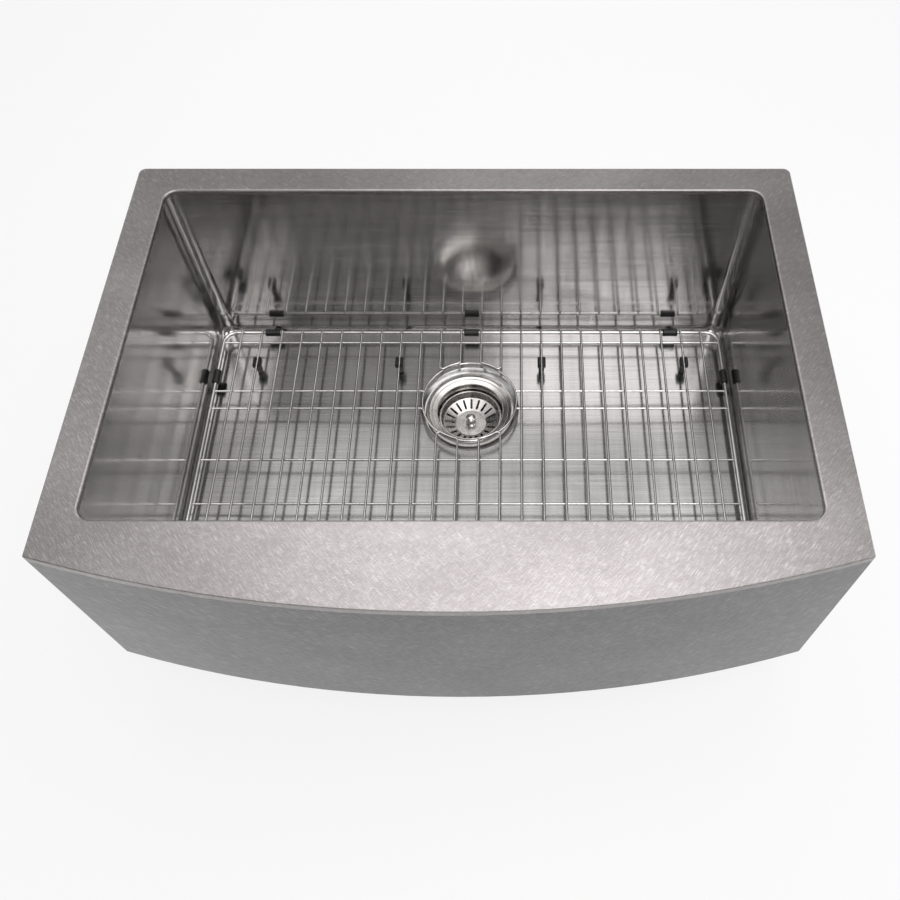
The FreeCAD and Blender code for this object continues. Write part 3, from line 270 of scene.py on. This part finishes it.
# %% The lathe-turned finish
def lathe_turned(name, dark, light, low, high, spread):
    finish, graph, shader, place = start_finish(name, Metallic=1.0, Anisotropic=spread)
    arm = add_node(graph, "ShaderNodeMapping", Vector=place, Location=(0, -DRAIN_Y, 0)).outputs[0]
    look = add_node(graph, "ShaderNodeNewGeometry").outputs["Normal"]
    around = combine(graph, "CROSS_PRODUCT", (0, 0, 1), arm)
    graph.links.new(combine(graph, "CROSS_PRODUCT", around, look), shader.inputs["Tangent"])
    parts = add_node(graph, "ShaderNodeSeparateXYZ", Vector=arm).outputs
    reach = calculate(graph, "SQRT", calculate(
        graph, "ADD", calculate(graph, "POWER", parts[0], 2.0),
        calculate(graph, "POWER", parts[1], 2.0)))
    section = add_node(graph, "ShaderNodeCombineXYZ", X=reach, Z=parts[2]).outputs[0]
    marks = noise(graph, section, (1800, 1, 1800), detail=2.0)
    smudge = noise(graph, place, (120, 120, 120))
    both = calculate(graph, "ADD", calculate(graph, "MULTIPLY", marks, 0.6),
                     calculate(graph, "MULTIPLY", smudge, 0.4))
    share = between(graph, both, 0.36, 0.64)
    finish_with(graph, shader, tint(graph, share, dark, light),
                between(graph, both, 0.36, 0.64, low, high))
    return finish


finishes["strainer_body"] = lathe_turned("turned_flange", (0.38, 0.365, 0.35), (0.54, 0.52, 0.50),
                                         0.16, 0.24, 0.35)
finishes["basket"] = lathe_turned("turned_basket", (0.42, 0.40, 0.385), (0.60, 0.575, 0.56),
                                  0.20, 0.30, 0.80)
print("turned finishes ready")

# %% [markdown]
# ## Other finishes
# The wires are electropolished, rubber is matt and black, the nuts are plain turned
# metal. Each gets a fine grain in colour and gloss, because nothing real is even.


# %% Polished metal and rubber
WEAR_GRAIN, PORE_GRAIN = (400, 400, 400), (900, 900, 900)


def polished(name, dark, light, low, high):
    """Bright metal, glossier where it is lighter. low and high bound its roughness."""
    finish, graph, shader, place = start_finish(name, Metallic=1.0)
    wear = between(graph, noise(graph, place, WEAR_GRAIN), 0.3, 0.7)
    finish_with(graph, shader, tint(graph, wear, dark, light),
                between(graph, wear, 0, 1, high, low))
    return finish


def matt(name, dark, light, roughness, relief):
    """Rubber, putty, fibre or plastic with fine pores of that depth in metres."""
    finish, graph, shader, place = start_finish(name, Metallic=0.0)
    pores = between(graph, noise(graph, place, PORE_GRAIN), 0.3, 0.7)
    finish_with(graph, shader, tint(graph, pores, dark, light),
                between(graph, pores, 0, 1, roughness, roughness * 1.3), pores, relief)
    return finish


finishes.update({
    "wire_steel": polished("bright_wire", (0.46, 0.45, 0.44), (0.66, 0.65, 0.64), 0.10, 0.18),
    "strainer_steel": polished("polished_steel", (0.48, 0.46, 0.44), (0.62, 0.60, 0.58),
                               0.14, 0.22),
    "black_rubber": matt("black_rubber", (0.004, 0.004, 0.004), (0.010, 0.010, 0.010), 0.36,
                         0.02 * MM),
    "damping_rubber": matt("damping_rubber", (0.03, 0.03, 0.032), (0.07, 0.07, 0.072), 0.7,
                           0.2 * MM),
    "sealing_putty": matt("sealing_putty", (0.46, 0.44, 0.40), (0.56, 0.54, 0.50), 0.6, 0.1 * MM),
    "washer_fibre": matt("washer_fibre", (0.26, 0.19, 0.12), (0.36, 0.28, 0.18), 0.8, 0.1 * MM),
    "washer_plastic": matt("washer_plastic", (0.62, 0.62, 0.60), (0.74, 0.74, 0.72), 0.4,
                           0.02 * MM),
    "nut_metal": polished("nut_metal", (0.50, 0.42, 0.26), (0.66, 0.57, 0.38), 0.25, 0.40),
})
# The other brushed-sheet parts share the apron's finish, and so its painted shade.
finishes["brushed_sheet"] = finishes["apron"]
for name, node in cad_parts.items():
    own = finishes.get(name) or finishes[node.data.materials[0].name]
    node.material_slots[0].material = own
print("finishes:", len(finishes))

# %% [markdown]
# ## Trees that make geometry
# What repeats on the sink is made by a tree of geometry nodes: one shape is set on
# many points, or drawn along a path. A tree takes its sizes as named inputs, and its
# result is kept as a plain mesh, so that it travels with the body that it rides on.


# %% Helpers for geometry trees
def start_tree(name, **sizes):
    """A tree with a mesh input and named sizes. Returns the tree and its input sockets."""
    tree = bpy.data.node_groups.new(name, "GeometryNodeTree")
    tree.interface.new_socket("Points", in_out="INPUT", socket_type="NodeSocketGeometry")
    for label, kind in sizes.items():
        tree.interface.new_socket(label, in_out="INPUT", socket_type="NodeSocket" + kind)
    tree.interface.new_socket("Mesh", in_out="OUTPUT", socket_type="NodeSocketGeometry")
    return tree, tree.nodes.new("NodeGroupInput").outputs


def end_tree(tree, geometry, finish):
    """Make the result real, smooth and finished, and hand it to the tree's output."""
    real = add_node(tree, "GeometryNodeRealizeInstances", in0=geometry)
    smooth = add_node(tree, "GeometryNodeSetShadeSmooth", in0=real.outputs[0])
    finished = add_node(tree, "GeometryNodeSetMaterial", in0=smooth.outputs[0], Material=finish)
    tree.links.new(finished.outputs[0], tree.nodes.new("NodeGroupOutput").inputs[0])


def grow(name, tree, start_mesh, body, slot, **sizes):
    """Run a tree on a start mesh and keep the result as a plain piece on a body."""
    carrier = bpy.data.objects.new(name + "_start", start_mesh)
    scene.collection.objects.link(carrier)
    modifier = carrier.modifiers.new("grow", "NODES")
    modifier.node_group = tree
    for item in tree.interface.items_tree:
        if item.in_out == "INPUT" and item.name in sizes:
            modifier[item.identifier] = sizes[item.name]
    ready = carrier.evaluated_get(bpy.context.evaluated_depsgraph_get())
    mesh = bpy.data.meshes.new_from_object(ready)
    bpy.data.objects.remove(carrier)
    mesh.name = name
    piece = bpy.data.objects.new(name, mesh)
    scene.collection.objects.link(piece)
    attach(piece, body)
    print(name, "has", len(mesh.polygons), "faces")
    return piece


def spots_mesh(name, spots):
    """A mesh of loose points; each spot is x, y, z and its turn about Z in degrees."""
    mesh = bpy.data.meshes.new(name)
    mesh.from_pydata([spot[:3] for spot in spots], [], [])
    turns = mesh.attributes.new("turn", "FLOAT", "POINT")
    for index, spot in enumerate(spots):
        turns.data[index].value = math.radians(spot[3])
    return mesh


print("tree helpers ready")

# %% [markdown]
# ## Weld nuggets
# The grid's wires are spot-welded where they cross, and each weld squeezes out a small
# bright bead. There are more than two hundred, all alike apart from a little scatter in
# size, so one low ball is set on every crossing. The crossings follow from the wires'
# own spacing, so they are worked out here and not placed by eye.

# %% Where the wires cross
WIRE_PITCH = 27 * MM
LONG_WIRES = [side * (number + 0.5) * WIRE_PITCH for number in range(2, 12) for side in (-1, 1)]
FINGER_WIRES = [side * (number + 0.5) * WIRE_PITCH for number in range(2) for side in (-1, 1)]
CROSS_WIRES = [-rear * MM for rear in (76, 155.8, 183, 260.6, 322.9, 347, 423.5)]
BROKEN_AT_RING = CROSS_WIRES[1:3]
FRAME_REAR, FRAME_FRONT, FRAME_SIDE = -57.7 * MM, -441.8 * MM, 332 * MM
TOUCH_HEIGHT, CROSS_HEIGHT = -229.5 * MM, -231 * MM
RING, FINGER_BEND, THIN_WIRE = 61 * MM, 4 * MM, 1.5 * MM

welds = [(x, y, TOUCH_HEIGHT, 0) for x in LONG_WIRES for y in CROSS_WIRES]
welds += [(x, y, TOUCH_HEIGHT, 0) for x in FINGER_WIRES for y in CROSS_WIRES
          if y not in BROKEN_AT_RING]
welds += [(x, y, TOUCH_HEIGHT, 0) for x in LONG_WIRES + FINGER_WIRES
          for y in (FRAME_REAR, FRAME_FRONT)]
welds += [(side * FRAME_SIDE, y, CROSS_HEIGHT, 0) for y in CROSS_WIRES for side in (-1, 1)]
for y in BROKEN_AT_RING:
    rise = abs(y - DRAIN_Y) - THIN_WIRE
    ring_face = math.sqrt((RING + THIN_WIRE) ** 2 - rise ** 2)
    welds += [(side * ring_face, y, CROSS_HEIGHT, 0) for side in (-1, 1)]
for bend_x in (WIRE_PITCH / 2 + FINGER_BEND, 3 * WIRE_PITCH / 2 - FINGER_BEND):
    x = bend_x * RING / (RING + FINGER_BEND)
    y = math.sqrt(RING ** 2 - x ** 2)
    welds += [(side * x, DRAIN_Y + end * y, TOUCH_HEIGHT, 0) for side in (-1, 1) for end in (-1, 1)]
print("welds:", len(welds))

# %% Set a nugget on every crossing
nugget_tree, sizes = start_tree("weld_nuggets", Width="Float", Height="Float", Scatter="Float")
ball = add_node(nugget_tree, "GeometryNodeMeshUVSphere", Segments=8, Rings=5, Radius=1.0)
least = calculate(nugget_tree, "SUBTRACT", 1.0, sizes["Scatter"])
most = calculate(nugget_tree, "ADD", 1.0, sizes["Scatter"])
scatter = add_node(nugget_tree, "FunctionNodeRandomValue", {"data_type": "FLOAT"},
                   in2=least, in3=most, Seed=7).outputs[1]
wide = calculate(nugget_tree, "MULTIPLY", sizes["Width"], scatter)
high = calculate(nugget_tree, "MULTIPLY", sizes["Height"], scatter)
scale = add_node(nugget_tree, "ShaderNodeCombineXYZ", X=wide, Y=wide, Z=high)
beads = add_node(nugget_tree, "GeometryNodeInstanceOnPoints", Points=sizes["Points"],
                 Instance=ball.outputs[0], Scale=scale.outputs[0])
end_tree(nugget_tree, beads.outputs[0], finishes["wire_steel"])
grow("weld_beads", nugget_tree, spots_mesh("weld_spots", welds), "bottom_grid", "wire_steel",
     Width=1.9 * MM, Height=1.1 * MM, Scatter=0.15)

# %% [markdown]
# ## Turned shapes and copies
# A lathe shape is a half section spun round an axis. The same helper makes the post,
# the rubber sleeve and the leg of a foot. Feet and sleeves are each modelled once, and
# a tree sets the model on its points, turned as each point says.


# %% A lathe and a copier
def lathe(section, steps=48):
    """A shape turned about Z from radii and heights in millimetres."""
    shape = bmesh.new()
    points = [shape.verts.new((radius * MM, 0, height * MM)) for radius, height in section]
    edges = [shape.edges.new(pair) for pair in zip(points, points[1:])]
    bmesh.ops.spin(shape, geom=points + edges, cent=(0, 0, 0), axis=(0, 0, 1),
                   angle=2 * math.pi, steps=steps)
    bmesh.ops.remove_doubles(shape, verts=shape.verts, dist=0.001 * MM)
    bmesh.ops.recalc_face_normals(shape, faces=shape.faces)
    return shape


def mesh_from(shape, name, sharp=38):
    """Turn a bmesh into a smooth mesh whose edges past an angle stay sharp."""
    mesh = bpy.data.meshes.new(name)
    for face in shape.faces:
        face.smooth = True
    shape.to_mesh(mesh)
    shape.free()
    mesh.set_sharp_from_angle(angle=math.radians(sharp))
    return mesh


def copy_tree(name, finish):
    """A tree that sets one model on every point, turned as the point says."""
    tree, inputs = start_tree(name, Model="Object")
    model = add_node(tree, "GeometryNodeObjectInfo", Object=inputs["Model"])
    turn = add_node(tree, "GeometryNodeInputNamedAttribute", {"data_type": "FLOAT"}, Name="turn")
    spin = add_node(tree, "ShaderNodeCombineXYZ", Z=turn.outputs["Attribute"])
    copies = add_node(tree, "GeometryNodeInstanceOnPoints", Points=inputs["Points"],
                      Instance=model.outputs["Geometry"], Rotation=spin.outputs[0])
    real = add_node(tree, "GeometryNodeRealizeInstances", in0=copies.outputs[0])
    finished = add_node(tree, "GeometryNodeSetMaterial", in0=real.outputs[0], Material=finish)
    tree.links.new(finished.outputs[0], tree.nodes.new("NodeGroupOutput").inputs[0])
    return tree


def grow_copies(name, mesh, spots, body, slot):
    """One piece made of a model's copies."""
    model = bpy.data.objects.new(name + "_model", mesh)
    scene.collection.objects.link(model)
    tree = copy_tree(name + "_tree", finishes[slot])
    piece = grow(name, tree, spots_mesh(name + "_spots", spots), body, slot, Model=model)
    bpy.data.objects.remove(model)
    return piece


print("lathe and copier ready")

# %% [markdown]
# ## Rubber feet
# Eight moulded feet hold the grid off the bowl. The head is a block with a keyhole: it
# is pressed over a wire, which then shows bright between the two ears. The leg is
# turned, narrows a little and ends in a soft edge. The block is a section pushed out
# along the wire, and only its outer edges are rounded, so the keyhole keeps its lips.

# %% Model one foot
HEAD_HALF, HEAD_LENGTH, HEAD_TOP, HEAD_FOOT, HEAD_BEVEL = 5.35, 13.0, 3.4, -4.6, 1.6
LIP_TOP, LIP_LOW, WIRE = 1.9, 1.1, 1.5
LEG_END, EDGE_ROUND = -19.3, 0.45


def foot_section():
    """Right half of the head's outline, from the keyhole's bottom outwards."""
    lip_height = math.sqrt(WIRE ** 2 - LIP_LOW ** 2)
    lip_angle = math.atan2(lip_height, LIP_LOW)
    steps, low_point = 6, -math.pi / 2
    angles = [low_point + (lip_angle + math.pi / 2) * step / steps
              for step in range(1, steps + 1)]
    key = [(WIRE * math.cos(angle), WIRE * math.sin(angle)) for angle in angles]
    shoulder = [(LIP_TOP, HEAD_TOP), (HEAD_HALF - HEAD_BEVEL, HEAD_TOP),
                (HEAD_HALF, HEAD_TOP - HEAD_BEVEL), (HEAD_HALF, HEAD_FOOT)]
    return [(0.0, -WIRE)] + key + shoulder


half = foot_section()
around = half + [(-x, z) for x, z in reversed(half[1:])]
foot = bmesh.new()
near = [foot.verts.new((x * MM, -HEAD_LENGTH / 2 * MM, z * MM)) for x, z in around]
grown = bmesh.ops.extrude_face_region(foot, geom=[foot.faces.new(near)])
bmesh.ops.translate(foot, vec=(0, HEAD_LENGTH * MM, 0),
                    verts=[part for part in grown["geom"] if isinstance(part, bmesh.types.BMVert)])
bmesh.ops.recalc_face_normals(foot, faces=foot.faces)
outer = [edge for edge in foot.edges if all(abs(v.co.x) > (WIRE + 0.3) * MM for v in edge.verts)]
bmesh.ops.bevel(foot, geom=outer, offset=EDGE_ROUND * MM, segments=3, profile=0.5,
                affect="EDGES")
leg = lathe([(4.4, HEAD_FOOT + 1), (4.3, -8), (3.95, -15), (3.8, -18.2), (3.6, -18.9),
             (3.1, LEG_END), (0, LEG_END)], steps=24)
leg_mesh = mesh_from(leg, "foot_leg")
foot.from_mesh(leg_mesh)
foot_mesh = mesh_from(foot, "foot_model", 30)
print("one foot has", len(foot_mesh.polygons), "faces")

# %% Set the eight feet on their wires
WIRE_HEIGHT = -228 * MM
FOOT_ROWS = {"rear": -110.7 * MM, "front": -388.8 * MM}
FOOT_COLUMNS = {"far_left": -10.5, "mid_left": -3.5, "mid_right": 3.5, "far_right": 10.5}
foot_spots = [(pitches * WIRE_PITCH, y, WIRE_HEIGHT, 0)
              for y in FOOT_ROWS.values() for pitches in FOOT_COLUMNS.values()]
feet = grow_copies("rubber_feet", foot_mesh, foot_spots, "bottom_grid", "black_rubber")
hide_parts(*[f"grid_foot_{row}_{column}" for row in FOOT_ROWS for column in FOOT_COLUMNS])

# %% [markdown]
# ## Frame sleeves
# Ten short rubber tubes on the frame keep it from scratching the walls. A moulded tube
# has soft ends and a slightly thinner middle, so its section is spun about its length
# and then laid over, because the lathe turns about the upright axis.

# %% Model one sleeve and set ten
sleeve = lathe([(2.5, -10), (3.9, -10), (4.6, -9.7), (4.95, -9.0), (4.98, -7), (4.8, -4), (4.75, 0),
                (4.8, 4), (4.98, 7), (4.95, 9.0), (4.6, 9.7), (3.9, 10), (2.5, 10), (2.5, -10)],
               steps=28)
bmesh.ops.rotate(sleeve, verts=sleeve.verts, cent=(0, 0, 0),
                 matrix=Matrix.Rotation(math.pi / 2, 3, "Y"))
sleeve_mesh = mesh_from(sleeve, "sleeve_model", 50)
SLEEVE_HEIGHT, SIDE_X = -232 * MM, 334.5 * MM
SLEEVE_COLUMNS = {"left": -270 * MM, "middle": 0.0, "right": 270 * MM}
SLEEVE_ROWS = {"rear": FRAME_REAR - 74.5 * MM, "front": FRAME_FRONT + 74.5 * MM}
sleeve_spots = [(x, y, SLEEVE_HEIGHT, 0) for y in (FRAME_REAR, FRAME_FRONT)
                for x in SLEEVE_COLUMNS.values()]
sleeve_spots += [(x, y, SLEEVE_HEIGHT, 90) for x in (-SIDE_X, SIDE_X)
                 for y in SLEEVE_ROWS.values()]
sleeves = grow_copies("rubber_sleeves", sleeve_mesh, sleeve_spots, "bottom_grid", "black_rubber")
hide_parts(*[f"grid_bumper_{row}_{column}" for row in SLEEVE_ROWS for column in SLEEVE_COLUMNS],
            *[f"grid_bumper_{side}_{row}" for side in ("left", "right") for row in SLEEVE_ROWS])

# %% [markdown]
# ## Lifting post
# The post in the basket is one small turned part: a domed knob with a soft shoulder, a
# thin neck and a foot that flares onto the plate. It has the solid's own section, spun
# in finer steps and shaded smooth, so the knob mirrors the room in clean arcs.

# %% Spin the post
KNOB = [(0, -267), (0.9, -267.2), (1.9, -267.3), (2.8, -267.5), (3.8, -267.7), (4.6, -268.2),
        (5.3, -268.7), (6.1, -269.2), (6.3, -269.9), (6.6, -270.7), (6.9, -271.4), (6.6, -272.1),
        (6.3, -272.9), (5.9, -273.6), (5.3, -274.1), (4.7, -274.5), (4.1, -275.0), (3.7, -275.5),
        (3.3, -276.0)]
NECK = [(2.9, -276.5), (2.9, -277.5), (3.3, -278.1), (3.6, -278.8), (4.0, -279.4), (4.4, -280.0),
        (5.1, -280.4), (5.8, -280.8), (6.5, -281.2), (6.5, -282)]
STEM = [(4.4, -282), (4.4, -290), (2.5, -290), (2.5, -294.4), (5.4, -294.4), (5.4, -296.4),
        (0, -296.4)]
post_shape = lathe(KNOB + NECK + STEM)
bmesh.ops.translate(post_shape, verts=post_shape.verts, vec=(0, DRAIN_Y, 0))
post = bpy.data.objects.new("lifting_post", mesh_from(post_shape, "lifting_post"))
post.data.materials.append(finishes["strainer_steel"])
scene.collection.objects.link(post)
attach(post, "strainer_basket")
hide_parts("basket_post")
print("the post has", len(post.data.polygons), "faces")

# %% [markdown]
# ## Rolled edges and threads
# Sheet that a hand or a seal touches is rolled over. The flange has a pressed step,
# the throat and the basket's rim have rolled edges, and each shows as a bright line
# beside a dark one. A ring tree draws them. The threads under the sink are a spiral with
# a small section drawn along it, half sunk in the wall, and clear of the nut.

# %% Rings and threads
ring_tree, sizes = start_tree("rolled_edge", Reach="Float", Roll="Float", Height="Float")
path = add_node(ring_tree, "GeometryNodeCurvePrimitiveCircle", Resolution=96, Radius=sizes["Reach"])
roll = add_node(ring_tree, "GeometryNodeCurvePrimitiveCircle", Resolution=12, Radius=sizes["Roll"])
swept = add_node(ring_tree, "GeometryNodeCurveToMesh", in0=path.outputs[0], in1=roll.outputs[0])
middle = add_node(ring_tree, "ShaderNodeCombineXYZ", Y=DRAIN_Y, Z=sizes["Height"])
placed = add_node(ring_tree, "GeometryNodeTransform", Geometry=swept.outputs[0],
                  Translation=middle.outputs[0])
end_tree(ring_tree, placed.outputs[0], finishes["strainer_steel"])

thread_tree, sizes = start_tree("thread", Turns="Float", Reach="Float", Length="Float",
                                Low="Float", Ridge="Float")
helix = add_node(thread_tree, "GeometryNodeCurveSpiral", Resolution=48, Rotations=sizes["Turns"],
                 Start_Radius=sizes["Reach"], End_Radius=sizes["Reach"], Height=sizes["Length"])
ridge = add_node(thread_tree, "GeometryNodeCurvePrimitiveCircle", Resolution=4,
                 Radius=sizes["Ridge"])
swept = add_node(thread_tree, "GeometryNodeCurveToMesh", in0=helix.outputs[0],
                 in1=ridge.outputs[0], Fill_Caps=True)
middle = add_node(thread_tree, "ShaderNodeCombineXYZ", Y=DRAIN_Y, Z=sizes["Low"])
placed = add_node(thread_tree, "GeometryNodeTransform", Geometry=swept.outputs[0],
                  Translation=middle.outputs[0])
end_tree(thread_tree, placed.outputs[0], finishes["strainer_steel"])

empty = spots_mesh("no_spots", [])
for name, body, reach, roll_size, height in (
        ("flange_step", "sink", 50.0, 0.55, -251.95),
        ("throat_roll", "sink", 43.55, 0.70, -253.9),
        ("basket_rim_roll", "strainer_basket", 40.35, 0.75, -266.95)):
    grow(name, ring_tree, empty.copy(), body, "strainer_steel", Reach=reach * MM,
         Roll=roll_size * MM, Height=height * MM)
for name, turns, reach, low, length in (("body_thread", 14.0, 44.6, -291.0, 28.0),
                                        ("spigot_thread", 6.0, 23.6, -323.0, 12.0)):
    grow(name, thread_tree, empty.copy(), "sink", "strainer_steel", Turns=turns,
         Reach=reach * MM, Length=length * MM, Low=low * MM, Ridge=0.24 * MM)

# %% [markdown]
# ## Studio
# The floor is a plain sheet of pale paper. The camera and mirrored rays see most of it
# as even white, and the rest of it as lit paper, which keeps the sink's soft shadow and
# leaves the light on the sink alone. A tall ring of the same paper stands far off, so
# that low views end in white too. One wide softbox hangs over the sink, dimmer ones lie
# round it, and one stands low on the right and lights that end of the apron.

# %% Floor
EVEN_WHITE = 0.85
paper, graph, paper_shader, place = start_finish("pale_paper", Roughness=0.9)
fibre = between(graph, noise(graph, place, (300, 300, 300)), 0.3, 0.7)
graph.links.new(tint(graph, fibre, (0.90, 0.90, 0.90), (0.93, 0.93, 0.93)),
                paper_shader.inputs["Base Color"])
paper_shader.inputs["Specular IOR Level"].default_value = 0.0
rays = add_node(graph, "ShaderNodeLightPath").outputs
seen = calculate(graph, "MAXIMUM", rays["Is Camera Ray"], rays["Is Glossy Ray"])
seen = calculate(graph, "MAXIMUM", seen, rays["Is Transmission Ray"])
white = add_node(graph, "ShaderNodeEmission", Strength=1.0)
blend = add_node(graph, "ShaderNodeMixShader", in0=calculate(graph, "MULTIPLY", seen, EVEN_WHITE),
                 in1=paper_shader.outputs[0], in2=white.outputs[0])
graph.links.new(blend.outputs[0], graph.nodes["Material Output"].inputs["Surface"])
FLOOR_REACH, level = 40.0, cad_low.z
floor_corners = [(side_x * FLOOR_REACH, side_y * FLOOR_REACH, level)
                 for side_x, side_y in ((-1, -1), (1, -1), (1, 1), (-1, 1))]
floor_mesh = bpy.data.meshes.new("studio_floor")
floor_mesh.from_pydata(floor_corners, [], [(0, 1, 2, 3)])
floor_mesh.materials.append(paper)
floor = bpy.data.objects.new("studio_floor", floor_mesh)
scene.collection.objects.link(floor)
floor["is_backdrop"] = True
print("the floor lies", round(level, 3), "m from the deck")

# %% Backdrop ring far behind everything
BACKDROP_REACH, BACKDROP_TOP, BACKDROP_SIDES = 12.0, 8.0, 64
ring = [(BACKDROP_REACH * math.cos(turn), BACKDROP_REACH * math.sin(turn))
        for turn in (2 * math.pi * side / BACKDROP_SIDES for side in range(BACKDROP_SIDES))]
corners = [(x, y, height) for height in (level, BACKDROP_TOP) for x, y in ring]
sides = [(side, side + BACKDROP_SIDES, (side + 1) % BACKDROP_SIDES + BACKDROP_SIDES,
          (side + 1) % BACKDROP_SIDES) for side in range(BACKDROP_SIDES)]
backdrop_mesh = bpy.data.meshes.new("studio_backdrop")
backdrop_mesh.from_pydata(corners, [], sides)
backdrop_mesh.materials.append(paper)
backdrop = bpy.data.objects.new("studio_backdrop", backdrop_mesh)
scene.collection.objects.link(backdrop)
backdrop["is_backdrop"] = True
print("the backdrop has", len(sides), "sides")


# %% Lamps
def softbox(name, place, target, width, depth, strength):
    """A rectangle of even light. strength is its brightness, where 1 looks white."""
    light = bpy.data.lights.new(name, "AREA")
    light.shape = "RECTANGLE"
    light.size, light.size_y = width, depth
    light.energy = strength * width * depth * math.pi
    lamp = bpy.data.objects.new(name, light)
    lamp.location = place
    aim = Vector(target) - Vector(place)
    lamp.rotation_euler = aim.to_track_quat("-Z", "Y").to_euler()
    scene.collection.objects.link(lamp)


SKY_STRENGTH = 0.06
softbox("overhead", (0.12, 0.1, 1.5), (0.12, 0.1, 0.0), 1.6, 0.8, 2.7)
softbox("overhead_left", (-1.15, 0.5, 1.5), (-1.15, 0.5, 0.0), 0.8, 1.6, 0.95)
softbox("overhead_rear", (0.0, 0.9, 1.5), (0.0, 0.9, 0.0), 1.6, 0.8, 0.85)
softbox("overhead_front", (0.4, -1.1, 1.5), (0.4, -1.1, 0.0), 0.8, 1.6, 3.5)
softbox("overhead_front_left", (-0.4, -1.1, 1.5), (-0.4, -1.1, 0.0), 0.8, 1.6, 0.7)
softbox("rear_panel", (0.0, 1.9, 0.6), (0.0, -0.3, -0.1), 0.8, 0.8, 2.7)
softbox("rear_panel_right", (0.8, 1.9, 0.6), (0.8, -0.3, -0.1), 0.8, 0.8, 1.4)
softbox("right_panel", (1.5, -0.3, 0.45), (0.0, -0.3, -0.1), 0.7, 1.6, 2.0)
world = bpy.data.worlds.new("studio")
scene.world = world
world.use_nodes = True
sky = world.node_tree.nodes["Background"].inputs
sky["Color"].default_value = (1, 1, 1, 1)
sky["Strength"].default_value = SKY_STRENGTH

# %% [markdown]
# ## Sizes and finish
# The dressed sink has to stay as large as the solid one, so its box is measured again.

# %% Sizes
low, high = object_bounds()
